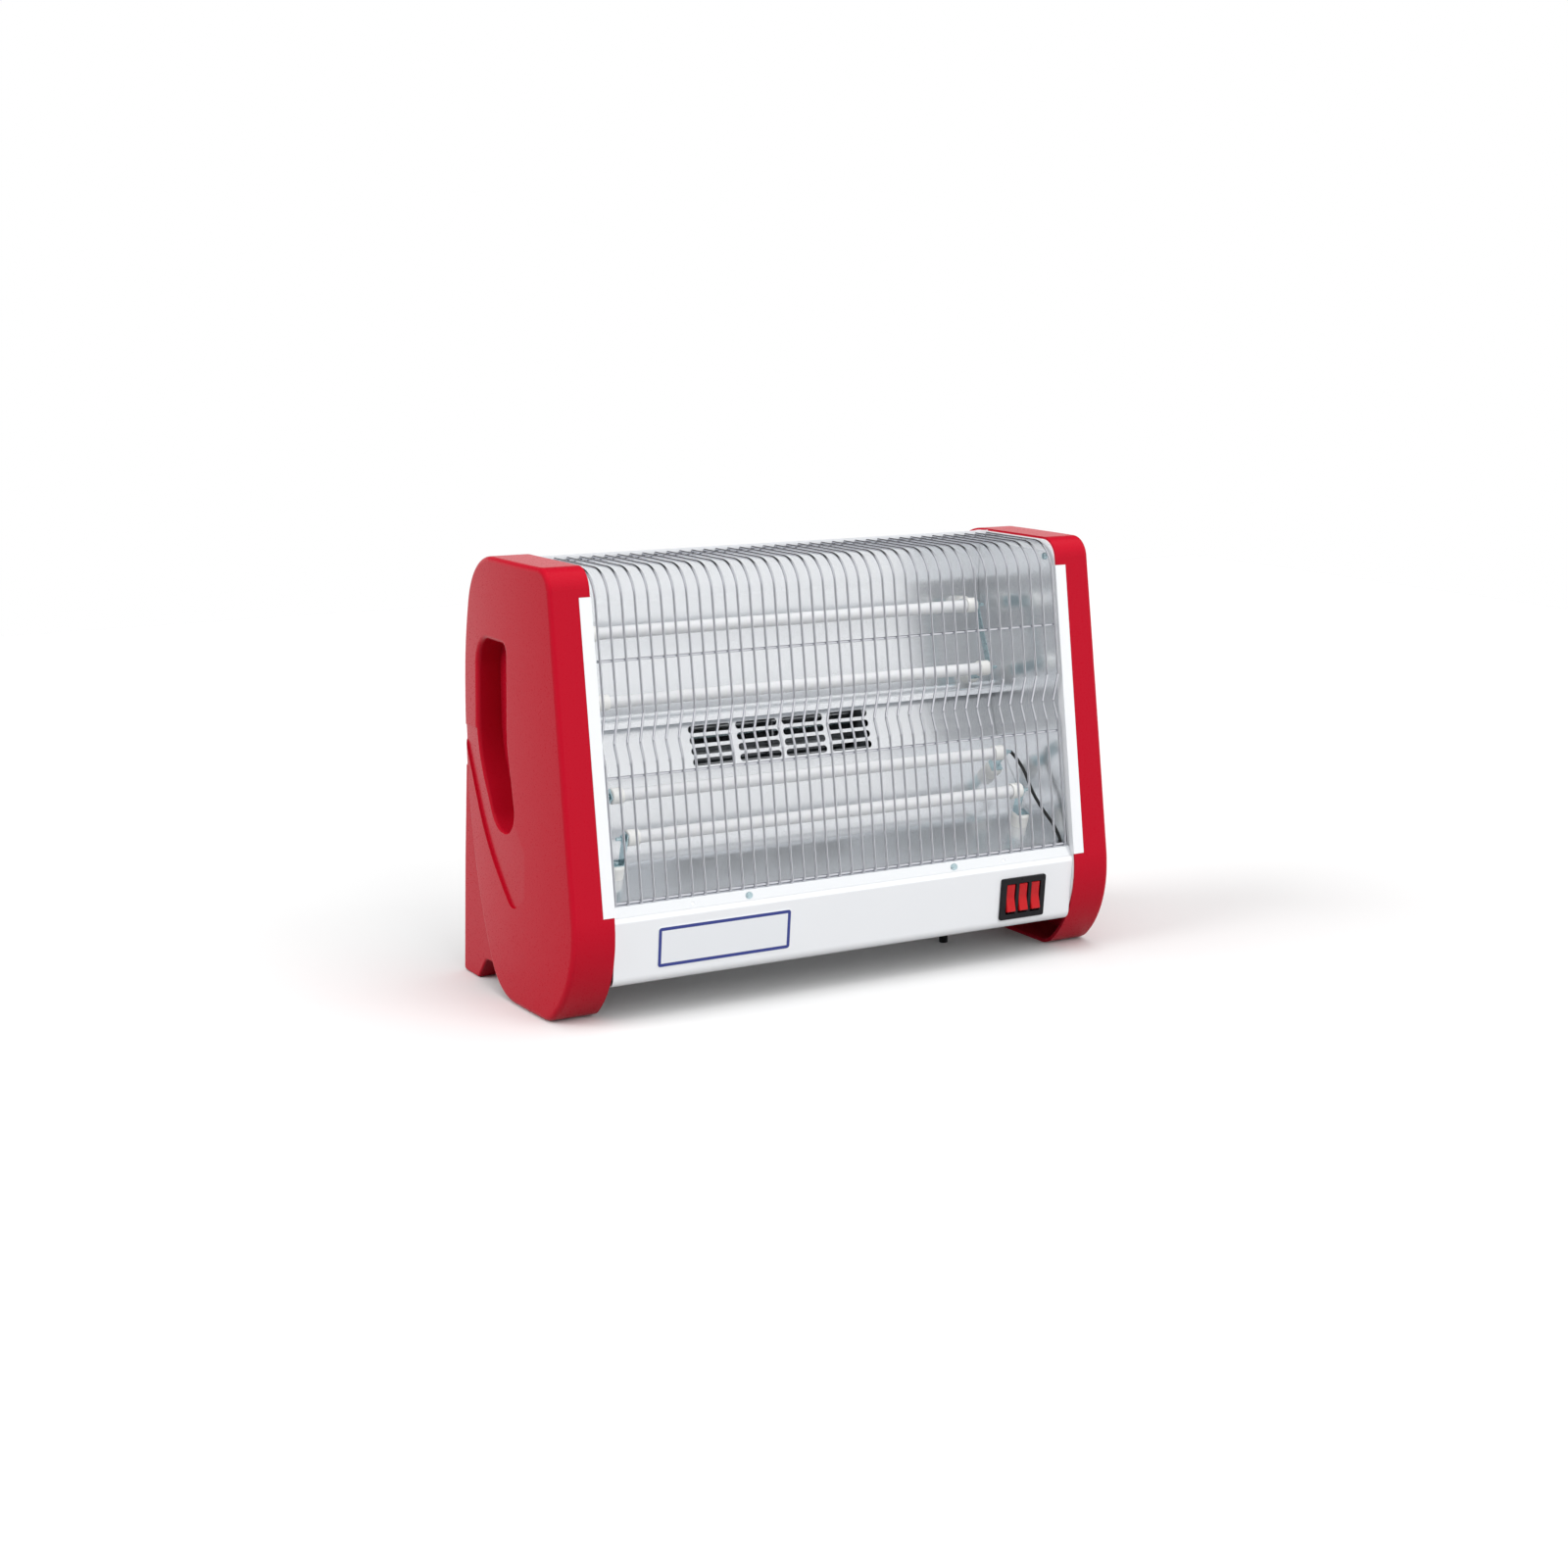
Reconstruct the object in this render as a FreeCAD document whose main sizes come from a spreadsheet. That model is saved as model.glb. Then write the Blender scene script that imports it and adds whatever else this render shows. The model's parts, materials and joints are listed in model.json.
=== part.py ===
import FreeCAD, Part
import math
import operator
import os
import Sketcher

Vector = FreeCAD.Vector
Rotation = FreeCAD.Rotation
Placement = FreeCAD.Placement

doc = FreeCAD.newDocument("FanHeater")
sheet = doc.addObject("Spreadsheet::Sheet", "Sizes")
aliases = []

OPERATIONS = {"+": operator.add, "-": operator.sub, "*": operator.mul, "/": operator.truediv}


class Size:
    """A number in millimetres that also carries the sheet formula it comes from."""

    def __init__(self, value, text):
        self.value = float(value)
        self.text = text

    def __float__(self):
        return self.value

    def __add__(self, other):
        return combine(self, "+", other)

    def __radd__(self, other):
        return combine(other, "+", self)

    def __sub__(self, other):
        return combine(self, "-", other)

    def __rsub__(self, other):
        return combine(other, "-", self)

    def __mul__(self, other):
        return combine(self, "*", other)

    def __rmul__(self, other):
        return combine(other, "*", self)

    def __truediv__(self, other):
        return combine(self, "/", other)

    def __neg__(self):
        return combine(0, "-", self)


def formula(value):
    """The sheet formula of a size, or the plain number."""
    if isinstance(value, Size):
        return value.text
    return "(%.9g)" % value


def combine(first, sign, second):
    """Join two sizes or numbers into one size."""
    value = OPERATIONS[sign](float(first), float(second))
    return Size(value, "(%s %s %s)" % (formula(first), sign, formula(second)))


def root(value):
    """Square root of a size."""
    return Size(math.sqrt(float(value)), "sqrt(%s)" % formula(value))


def driving(alias, value):
    """Write one driving dimension into the sheet."""
    aliases.append(alias)
    cell = "B%d" % len(aliases)
    sheet.set("A%d" % len(aliases), alias)
    sheet.set(cell, str(value))
    sheet.setAlias(cell, alias)
    return Size(value, "Sizes." + alias)


# Driving sizes of the whole heater
overall_width = driving("overall_width", 558)
overall_height = driving("overall_height", 378)
fit_gap = driving("fit_gap", 0.2)
bore_gap = driving("bore_gap", 0.05)

# Driving sizes of the cheeks
cheek_depth = driving("cheek_depth", 46)
cheek_wall = driving("cheek_wall", 3)
cheek_edge = driving("cheek_edge", 4.5)
crown_radius = driving("crown_radius", 1050)
crown_slope = driving("crown_slope", 0.14)
cheek_flare = driving("cheek_flare", 0.0185)
front_foot = driving("front_foot", -128.5)
front_lean = driving("front_lean", 0.1435)
top_front_radius = driving("top_front_radius", 20)
chin_height = driving("chin_height", 42.9)
chin_radius = driving("chin_radius", 100)
foot_front = driving("foot_front", -75.8)
foot_front_radius = driving("foot_front_radius", 27.6)
foot_rear = driving("foot_rear", 24.1)
foot_rear_radius = driving("foot_rear_radius", 62)
back_depth = driving("back_depth", 106.4)
back_bend_height = driving("back_bend_height", 137.1)
back_radius = driving("back_radius", 450)
shoulder_drop = driving("shoulder_drop", 78.8)
shoulder_radius = driving("shoulder_radius", 260)
top_rear = driving("top_rear", 83.4)
top_rear_radius = driving("top_rear_radius", 60)
leg_depth = driving("leg_depth", 38)
leg_front = driving("leg_front", 84)
leg_back = driving("leg_back", 115.8)
leg_waist = driving("leg_waist", 108.5)
leg_waist_height = driving("leg_waist_height", 104)
leg_top = driving("leg_top", 190)
arch_height = driving("arch_height", 21)
arch_crown = driving("arch_crown", 66)
leg_corner = driving("leg_corner", 4)
leg_edge = driving("leg_edge", 2)

# Driving sizes of the handle pocket and the leaf recess
pocket_depth = driving("pocket_depth", 30)
pocket_mouth = driving("pocket_mouth", 4)
pocket_top = driving("pocket_top", 307)
pocket_bottom = driving("pocket_bottom", 146)
pocket_back = driving("pocket_back", 71)
pocket_front = driving("pocket_front", 5)
pocket_knee = driving("pocket_knee", 225)
pocket_toe = driving("pocket_toe", -15.4)
pocket_heel = driving("pocket_heel", 29.7)
pocket_hip = driving("pocket_hip", 208)
leaf_depth = driving("leaf_depth", 2.4)
leaf_fade = driving("leaf_fade", 65)

# Driving sizes of the side frames and reflectors
frame_sheet = driving("frame_sheet", 1)
frame_inset = driving("frame_inset", 2)
strip_width = driving("strip_width", 10)
strip_bottom = driving("strip_bottom", 93.7)
strip_top = driving("strip_top", 354)
reflector_sheet = driving("reflector_sheet", 0.5)
side_gap = driving("side_gap", 2)
side_front_gap = driving("side_front_gap", 7)
side_top_gap = driving("side_top_gap", 12)
side_corner = driving("side_corner", 10)
side_overlap = driving("side_overlap", 5)

# Driving sizes of the front panel, base pan and rear cover
panel_sheet = driving("panel_sheet", 0.8)
panel_bottom = driving("panel_bottom", 31)
panel_top = driving("panel_top", 87.5)
panel_foot = driving("panel_foot", -107.8)
panel_lean = driving("panel_lean", 0.0973)
panel_bend = driving("panel_bend", 3)
panel_foot_bend = driving("panel_foot_bend", 9)
panel_return = driving("panel_return", 24)
flange_run = driving("flange_run", 5.4)
flange_rise = driving("flange_rise", 12)
lip_width = driving("lip_width", 8.6)
pan_sheet = driving("pan_sheet", 1)
pan_end_height = driving("pan_end_height", 84)
pan_rear_height = driving("pan_rear_height", 44.5)
cover_inset = driving("cover_inset", 6)
cover_sheet = driving("cover_sheet", 0.8)
cover_front = driving("cover_front", 30)
cover_lip = driving("cover_lip", 5)

# Driving sizes of the reflectors and the air slots
upper_lip = driving("upper_lip", 29.5)
upper_back = driving("upper_back", 43)
upper_hollow = driving("upper_hollow", 44.5)
upper_hollow_height = driving("upper_hollow_height", 330)
upper_waist = driving("upper_waist", 40)
upper_waist_height = driving("upper_waist_height", 285)
ridge_back = driving("ridge_back", 23)
ridge_front = driving("ridge_front", 8)
ridge_height = driving("ridge_height", 232)
ridge_drop = driving("ridge_drop", 6)
ridge_rise = driving("ridge_rise", 1.5)
floor_bend = driving("floor_bend", -42)
floor_bend_height = driving("floor_bend_height", 120)
slot_face_front = driving("slot_face_front", 10)
slot_face_bottom = driving("slot_face_bottom", 184)
slot_face_back = driving("slot_face_back", 26)
slot_length = driving("slot_length", 42.5)
slot_height = driving("slot_height", 6.2)
slot_spread = driving("slot_spread", 185.5)
slot_low = driving("slot_low", 188.7)
slot_high = driving("slot_high", 216.4)

# Driving sizes of the guard
wire_radius = driving("wire_radius", 1.1)
wire_pitch = driving("wire_pitch", 12)
cross_radius = driving("cross_radius", 1.2)
rear_rod_radius = driving("rear_rod_radius", 1.9)
rear_rod_y = driving("rear_rod_y", 25)
rear_rod_drop = driving("rear_rod_drop", 6.2)
weld = driving("weld", 0.3)
guard_inset = driving("guard_inset", 1.5)
guard_step = driving("guard_step", 5)
guard_bend = driving("guard_bend", 27)
kink_top = driving("kink_top", 256)
kink_middle = driving("kink_middle", 232)
kink_bottom = driving("kink_bottom", 216)
kink_depth = driving("kink_depth", 10)
kink_bend = driving("kink_bend", 6)
upper_cross_height = driving("upper_cross_height", 301)
lower_cross_height = driving("lower_cross_height", 204.8)

# Driving sizes of the heating tubes and what holds them
tube_radius = driving("tube_radius", 5.5)
tube_wall = driving("tube_wall", 1)
tube_half = driving("tube_half", 196)
coil_gap = driving("coil_gap", 0.3)
cap_radius = driving("cap_radius", 7)
cap_grip = driving("cap_grip", 6)
cap_nose = driving("cap_nose", 5)
stud_radius = driving("stud_radius", 1.5)
stud_length = driving("stud_length", 13)
nut_radius = driving("nut_radius", 3.2)
nut_height = driving("nut_height", 2.5)
bracket_sheet = driving("bracket_sheet", 1)
bracket_width = driving("bracket_width", 10)
bracket_foot = driving("bracket_foot", 12)
knob_radius = driving("knob_radius", 8)
knob_height = driving("knob_height", 12)
strap_width = driving("strap_width", 7)
strap_sheet = driving("strap_sheet", 0.6)
upper_a_along = driving("upper_a_along", 23)
upper_a_rise = driving("upper_a_rise", 37)
upper_b_along = driving("upper_b_along", 46)
upper_b_rise = driving("upper_b_rise", 46)
lower_a_along = driving("lower_a_along", 45)
lower_a_rise = driving("lower_a_rise", 38)
lower_b_along = driving("lower_b_along", 48)
lower_b_rise = driving("lower_b_rise", 36)
lead_radius = driving("lead_radius", 1.5)

# Driving sizes of the switch and the label plate
switch_x = driving("switch_x", 177.7)
switch_height = driving("switch_height", 59.5)
bezel_width = driving("bezel_width", 48)
bezel_height = driving("bezel_height", 39)
bezel_sheet = driving("bezel_sheet", 2.5)
housing_depth = driving("housing_depth", 20)
housing_wall = driving("housing_wall", 1.5)
rocker_width = driving("rocker_width", 9.4)
rocker_half = driving("rocker_half", 13.8)
rocker_gap = driving("rocker_gap", 0.4)
rocker_bar = driving("rocker_bar", 3.2)
rocker_edge = driving("rocker_edge", 0.9)
rocker_axis = driving("rocker_axis", 4)
rocker_tilt = driving("rocker_tilt", 8)
rocker_pin_radius = driving("rocker_pin_radius", 1.5)
label_x = driving("label_x", -127.8)
label_height = driving("label_height", 61.7)
label_width = driving("label_width", 127.3)
label_tall = driving("label_tall", 35.5)
label_sheet = driving("label_sheet", 0.4)

# Driving sizes of the fan, the tip-over switch and the small parts
fan_y = driving("fan_y", 54)
fan_z = driving("fan_z", 202)
fan_radius = driving("fan_radius", 22)
fan_half = driving("fan_half", 85)
blade_count = driving("blade_count", 18)
blade_sheet = driving("blade_sheet", 0.8)
blade_chord = driving("blade_chord", 7)
disc_sheet = driving("disc_sheet", 1.5)
fan_end_gap = driving("fan_end_gap", 3)
fan_sheet = driving("fan_sheet", 1.2)
shaft_radius = driving("shaft_radius", 2.5)
bearing_radius = driving("bearing_radius", 5)
bearing_length = driving("bearing_length", 5)
stator_gap = driving("stator_gap", 10)
stator_length = driving("stator_length", 18)
stator_half = driving("stator_half", 23)
motor_radius = driving("motor_radius", 11)
air_gap = driving("air_gap", 0.5)
post_radius = driving("post_radius", 2.5)
tip_x = driving("tip_x", 153)
tip_y = driving("tip_y", -21)
tip_width = driving("tip_width", 24)
tip_body_height = driving("tip_body_height", 27)
plunger_radius = driving("plunger_radius", 3)
plunger_foot = driving("plunger_foot", 6)
plunger_pad = driving("plunger_pad", 1)
plunger_travel = driving("plunger_travel", 6)
grommet_x = driving("grommet_x", -170)
grommet_y = driving("grommet_y", 8)
grommet_radius = driving("grommet_radius", 7)
cord_radius = driving("cord_radius", 3.6)
screw_radius = driving("screw_radius", 1.5)
screw_head = driving("screw_head", 3)
screw_head_height = driving("screw_head_height", 2)
boss_radius = driving("boss_radius", 4.5)

# Places worked out from the driving sizes
outer_x = overall_width / 2
rim_x = outer_x - cheek_depth
half_inside = rim_x - frame_sheet - fit_gap
half_reflector = rim_x - frame_sheet - reflector_sheet - fit_gap
pan_floor = panel_bottom + panel_sheet
pan_top = pan_floor + pan_sheet
pan_front = panel_foot + panel_foot_bend + fit_gap
flange_length = root(flange_run * flange_run + flange_rise * flange_rise)
rear_slope = (back_depth - foot_rear) / back_bend_height
rear_skew = root(rear_slope * rear_slope + 1)
rear_rod_z = overall_height - rear_rod_drop
wire_top = rear_rod_z + rear_rod_radius + wire_radius - weld
riser_start = tube_half + cap_nose + fit_gap
riser_end = riser_start + bracket_sheet
knob_x = riser_start + bracket_foot / 2
strap_end = riser_end + strap_sheet
well_half = rocker_width / 2 + rocker_gap
well_tall = rocker_half + rocker_gap
rocker_pitch = 2 * well_half + rocker_bar
housing_half = rocker_pitch + well_half + housing_wall
plate_start = fan_half + fan_end_gap
plate_end = plate_start + fan_sheet
stator_start = plate_end + stator_gap
stator_end = stator_start + stator_length
motor_plate = stator_end + fan_end_gap
slot_face_top = ridge_height - 4 * fit_gap


def front_line(height):
    """Depth of the leaning front face at a height."""
    return front_foot + front_lean * height


def rear_line(height, inset):
    """Depth of the low rear face at a height, moved in by an inset."""
    return foot_rear + rear_slope * height - inset * rear_skew


def panel_face(height):
    """Depth of the front panel's outer face at a height."""
    return panel_foot - panel_lean * (height - panel_bottom)


def slot_face(height):
    """Depth of the back of the slotted face at a height."""
    share = (height - slot_face_bottom) / (slot_face_top - slot_face_bottom)
    return slot_face_front + (slot_face_back - slot_face_front) * share


def guard_line(height, step):
    """Depth of the guard's wires at a height."""
    return front_line(height) + guard_inset + step


SPARE = 20
ACROSS = Vector(1, 0, 0)
INWARD = Vector(0, 1, 0)
UPWARD = Vector(0, 0, 1)
SIDE = Rotation(Vector(1, 1, 1), 120)
FRONT = Rotation(Vector(1, 0, 0), 90)
TOP = Rotation()
NORMALS = {"x": Rotation(Vector(0, 1, 0), 90), "y": Rotation(Vector(1, 0, 0), -90), "z": Rotation()}
BEND_SHARE = 0.96


def bind(item, **sizes):
    """Bind properties of an object to sheet formulas."""
    for name, value in sizes.items():
        item.setExpression(name, formula(value))


def place(item, *corner):
    """Bind the base point of an object to sheet formulas."""
    for axis, value in zip("xyz", corner):
        item.setExpression("Placement.Base." + axis, formula(value))


def block(name, low, high):
    """A box between two corners."""
    item = doc.addObject("Part::Box", name)
    for side, first, last in zip(("Length", "Width", "Height"), low, high):
        item.setExpression(side, formula(combine(last, "-", first)))
    place(item, *low)
    return item


def rod(name, axis, start, length, radius):
    """A round bar that starts at a point and runs along one axis."""
    item = doc.addObject("Part::Cylinder", name)
    item.Placement = Placement(Vector(), NORMALS[axis])
    bind(item, Radius=radius, Height=length)
    place(item, *start)
    return item


def bends(points, corners, closed):
    """Bend radius, its share and its setback at each corner, limited by the runs beside it."""
    count = len(points)
    radii = [0.0] * count
    setbacks = [0.0] * count
    shares = [1.0] * count
    for index, corner in enumerate(corners):
        if len(corner) == 3:
            before = points[index] - points[index - 1]
            after = points[(index + 1) % count] - points[index]
            radii[index] = float(corner[2])
            setbacks[index] = radii[index] * math.tan(before.getAngle(after) / 2)
    for index in range(count if closed else count - 1):
        following = (index + 1) % count
        room = BEND_SHARE * (points[following] - points[index]).Length
        wanted = setbacks[index] + setbacks[following]
        if wanted > room:
            shares[index] = min(shares[index], room / wanted)
            shares[following] = min(shares[following], room / wanted)
    for index in range(count):
        radii[index] *= shares[index]
        setbacks[index] *= shares[index]
    return radii, shares, setbacks


def bend_arc(corner, before, after, radius, setback):
    """The arc that rounds a corner, and which of its ends is met first."""
    left = before.x * after.y - before.y * after.x > 0
    inward = Vector(-before.y, before.x, 0) * (1 if left else -1)
    centre = corner - before * setback + inward * radius
    ends = [corner - before * setback, corner + after * setback]
    if not left:
        ends.reverse()
    angles = [math.atan2(end.y - centre.y, end.x - centre.x) for end in ends]
    if angles[1] < angles[0]:
        angles[1] += 2 * math.pi
    circle = Part.Circle(centre, Vector(0, 0, 1), radius)
    return Part.ArcOfCircle(circle, angles[0], angles[1]), left


def add_line(sketch, corners, closed=True):
    """Draw straight runs through corners (across, up, bend radius), bound to the sheet."""
    points = [Vector(float(corner[0]), float(corner[1]), 0) for corner in corners]
    count = len(points)
    radii, shares, setbacks = bends(points, corners, closed)
    runs = []
    headings = []
    for index in range(count if closed else count - 1):
        following = (index + 1) % count
        heading = (points[following] - points[index]).normalize()
        start = points[index] + heading * setbacks[index]
        end = points[following] - heading * setbacks[following]
        runs.append(sketch.addGeometry(Part.LineSegment(start, end), False))
        headings.append(heading)
    rules = []
    sized = []
    for index, corner in enumerate(corners):
        before = runs[index - 1] if closed or index > 0 else None
        after = runs[index] if index < len(runs) else None
        if radii[index] > 0:
            arc, left = bend_arc(points[index], headings[index - 1], headings[index], radii[index],
                                 setbacks[index])
            bend = sketch.addGeometry(arc, False)
            handle = (sketch.addGeometry(Part.Point(points[index]), True), 1)
            enter, leave = (1, 2) if left else (2, 1)
            rules.append(Sketcher.Constraint("Tangent", before, 2, bend, enter))
            rules.append(Sketcher.Constraint("Tangent", bend, leave, after, 1))
            rules.append(Sketcher.Constraint("PointOnObject", handle[0], 1, before))
            rules.append(Sketcher.Constraint("PointOnObject", handle[0], 1, after))
            sized.append((len(rules), combine(corner[2], "*", shares[index])))
            rules.append(Sketcher.Constraint("Radius", bend, radii[index]))
        else:
            if before is not None and after is not None:
                rules.append(Sketcher.Constraint("Coincident", before, 2, after, 1))
            handle = (after, 1) if after is not None else (before, 2)
        sized.append((len(rules), corner[0]))
        rules.append(Sketcher.Constraint("DistanceX", -1, 1, handle[0], handle[1], points[index].x))
        sized.append((len(rules), corner[1]))
        rules.append(Sketcher.Constraint("DistanceY", -1, 1, handle[0], handle[1], points[index].y))
    numbers = sketch.addConstraint(rules)
    for index, value in sized:
        if isinstance(value, Size):
            sketch.setExpression("Constraints[%d]" % numbers[index], value.text)


def outline(name, plane, offset, corners, closed=True):
    """A sketch of one line in a main plane, moved along that plane's normal."""
    sketch = doc.addObject("Sketcher::SketchObject", name)
    sketch.Placement = Placement(Vector(), plane)
    axis = {id(SIDE): "x", id(FRONT): "y", id(TOP): "z"}[id(plane)]
    sketch.setExpression("Placement.Base." + axis, formula(offset))
    add_line(sketch, corners, closed)
    return sketch


def prism(name, base, direction, length):
    """Extrude an outline to a solid."""
    item = doc.addObject("Part::Extrusion", name)
    item.Base = base
    item.DirMode = "Custom"
    item.Dir = direction
    item.Solid = True
    bind(item, LengthFwd=length)
    return item


def side_prism(name, corners, low, high):
    """A prism along X whose corners are (y, z, radius)."""
    base = outline(name + "_line", SIDE, low, corners)
    return prism(name, base, ACROSS, combine(high, "-", low))


def front_prism(name, corners, low, high):
    """A prism along Y whose corners are (x, z, radius)."""
    base = outline(name + "_line", FRONT, low, corners)
    return prism(name, base, INWARD, combine(high, "-", low))


def rounded(across, up, width, height, radius):
    """Corners of a rounded rectangle about a centre."""
    corners = []
    for side, level in ((-1, -1), (1, -1), (1, 1), (-1, 1)):
        corners.append((across + side * width / 2, up + level * height / 2, radius))
    return corners


def moved_line(name, base, distance):
    """An outline moved outward by a distance, or inward by a negative one."""
    item = doc.addObject("Part::Offset2D", name)
    item.Source = base
    item.Join = "Arc"
    bind(item, Value=distance)
    return item


def bent_sheet(name, corners, thickness, half):
    """A folded sheet along X, with its thickness to the right of the line (left if negative)."""
    line = outline(name + "_line", SIDE, -half, corners, closed=False)
    strip = doc.addObject("Part::Offset2D", name + "_strip")
    strip.Source = line
    strip.Mode = "Skin"
    strip.Join = "Arc"
    strip.Fill = True
    bind(strip, Value=thickness)
    return prism(name, strip, ACROSS, 2 * half)


def group(name, *items):
    """Several solids kept together as one node."""
    item = doc.addObject("Part::Compound", name)
    item.Links = list(items)
    return item


def fuse(name, *items):
    """Join solids into one."""
    item = doc.addObject("Part::MultiFuse", name)
    item.Shapes = list(items)
    return item


def cut(name, base, *tools):
    """Take tools away from a solid, one after the other."""
    for number, tool in enumerate(tools, 1):
        item = doc.addObject("Part::Cut", name if number == len(tools) else "%s_cut_%d" % (name, number))
        item.Base = base
        item.Tool = tool
        base = item
    return base


def common(name, first, second):
    """What two solids share."""
    item = doc.addObject("Part::Common", name)
    item.Base = first
    item.Tool = second
    return item


def rounded_edges(name, base, radius, wanted):
    """Round the edges of a solid whose box passes a test."""
    doc.recompute()
    item = doc.addObject("Part::Fillet", name)
    item.Base = base
    edges = []
    for number, edge in enumerate(base.Shape.Edges, 1):
        if wanted(edge.BoundBox):
            edges.append((number, float(radius), float(radius)))
    item.Edges = edges
    return item


def mirrored(name, item):
    """The other hand of a piece."""
    twin = doc.addObject("Part::Mirroring", name)
    twin.Source = item
    twin.Normal = Vector(1, 0, 0)
    return twin


def copies(name, pattern, places):
    """Copies of one solid at several places."""
    doc.recompute()
    shapes = []
    for spot in places:
        shape = pattern.Shape.copy()
        shape.Placement = spot.multiply(shape.Placement)
        shapes.append(shape)
    item = doc.addObject("Part::Feature", name)
    item.Shape = Part.makeCompound(shapes) if len(shapes) > 1 else shapes[0]
    return item


def spot(point, outward):
    """A place at a point whose Z axis looks outward."""
    return Placement(Vector(*[float(value) for value in point]), Rotation(Vector(0, 0, 1), outward))


kept = []


def keep(name, item):
    """Name a finished piece, which names its file."""
    item.Label = name
    kept.append(item)
    return item


# The cheeks: hollow red mouldings, open on the inner side
LOBE = [
    (foot_rear, 0, foot_rear_radius),
    (back_depth, back_bend_height, back_radius),
    (back_depth, overall_height - shoulder_drop, shoulder_radius),
    (top_rear, overall_height, top_rear_radius),
    (front_line(overall_height), overall_height, top_front_radius),
    (front_line(chin_height), chin_height, chin_radius),
    (foot_front, 0, foot_front_radius),
]
LEG = [
    (leg_front, 0, leg_corner),
    (leg_back, 0, leg_corner),
    (leg_waist, leg_waist_height, back_radius / 2),
    (back_depth - 6, leg_top),
    (pocket_back, leg_top),
    (foot_rear - 4, 2 * arch_height),
    (foot_rear + 6, arch_height),
    (arch_crown, arch_height, 3 * leg_corner),
]
HANDLE = [
    (pocket_back, pocket_top, 26),
    (pocket_front, pocket_top, 9),
    (pocket_front, pocket_knee, 100),
    (pocket_toe, pocket_bottom, 20),
    (pocket_heel, pocket_bottom, 28),
    (pocket_back, pocket_hip, 90),
]
LEAF = [(112, 225), (50, 131, 250), (-8, 80, 16), (-32, 96, 8), (-33, 230)]
LEAF_FADE_POINT = (0, 172)
LEAF_CREASE = Vector(0, 0.667, 0.745)

# Cheek screws (y, z) and the face that each head sits on
upper_front_screw = (front_line(overall_height) + 12.5, overall_height - 17)
upper_rear_screw = (top_rear - 8, overall_height - 38)
lower_front_screw = (panel_foot + 16, panel_bottom + 29)
lower_rear_screw = (foot_rear - 4, panel_bottom + 29)
CHEEK_SCREWS = [
    (upper_front_screw, rim_x - frame_sheet - reflector_sheet),
    (upper_rear_screw, rim_x - frame_sheet),
    (lower_front_screw, half_inside - pan_sheet),
    (lower_rear_screw, half_inside - pan_sheet),
]
CHEEK_SCREW_LENGTH = 16


# The outer face of the left cheek leans in towards the top
CHEEK_LEAN = Rotation(Vector(0, 1, 0), math.degrees(math.atan(float(cheek_flare))))


def crown(name, inset):
    """The block under the crowned outer face of the left cheek."""
    radius = crown_radius - inset
    apex = inset - outer_x - radius * (root(crown_slope * crown_slope + 1) - 1)
    reach = overall_height / 2
    corners = [
        (SPARE - rim_x, -reach),
        (apex + crown_slope * reach, -reach),
        (apex, 0, radius),
        (apex + crown_slope * reach, reach),
        (SPARE - rim_x, reach),
    ]
    base = outline(name + "_line", TOP, -SPARE, corners)
    base.Placement = Placement(base.Placement.Base, CHEEK_LEAN)
    return prism(name, base, CHEEK_LEAN.multVec(UPWARD), overall_height + 2 * SPARE)


def screw_holes(name, radius, start, length):
    """Round tools along X at the cheek screws of the left side."""
    tools = []
    for number, (point, face) in enumerate(CHEEK_SCREWS, 1):
        tools.append(rod("%s_%d" % (name, number), "x", (start, point[0], point[1]), length, radius))
    return tools


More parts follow.
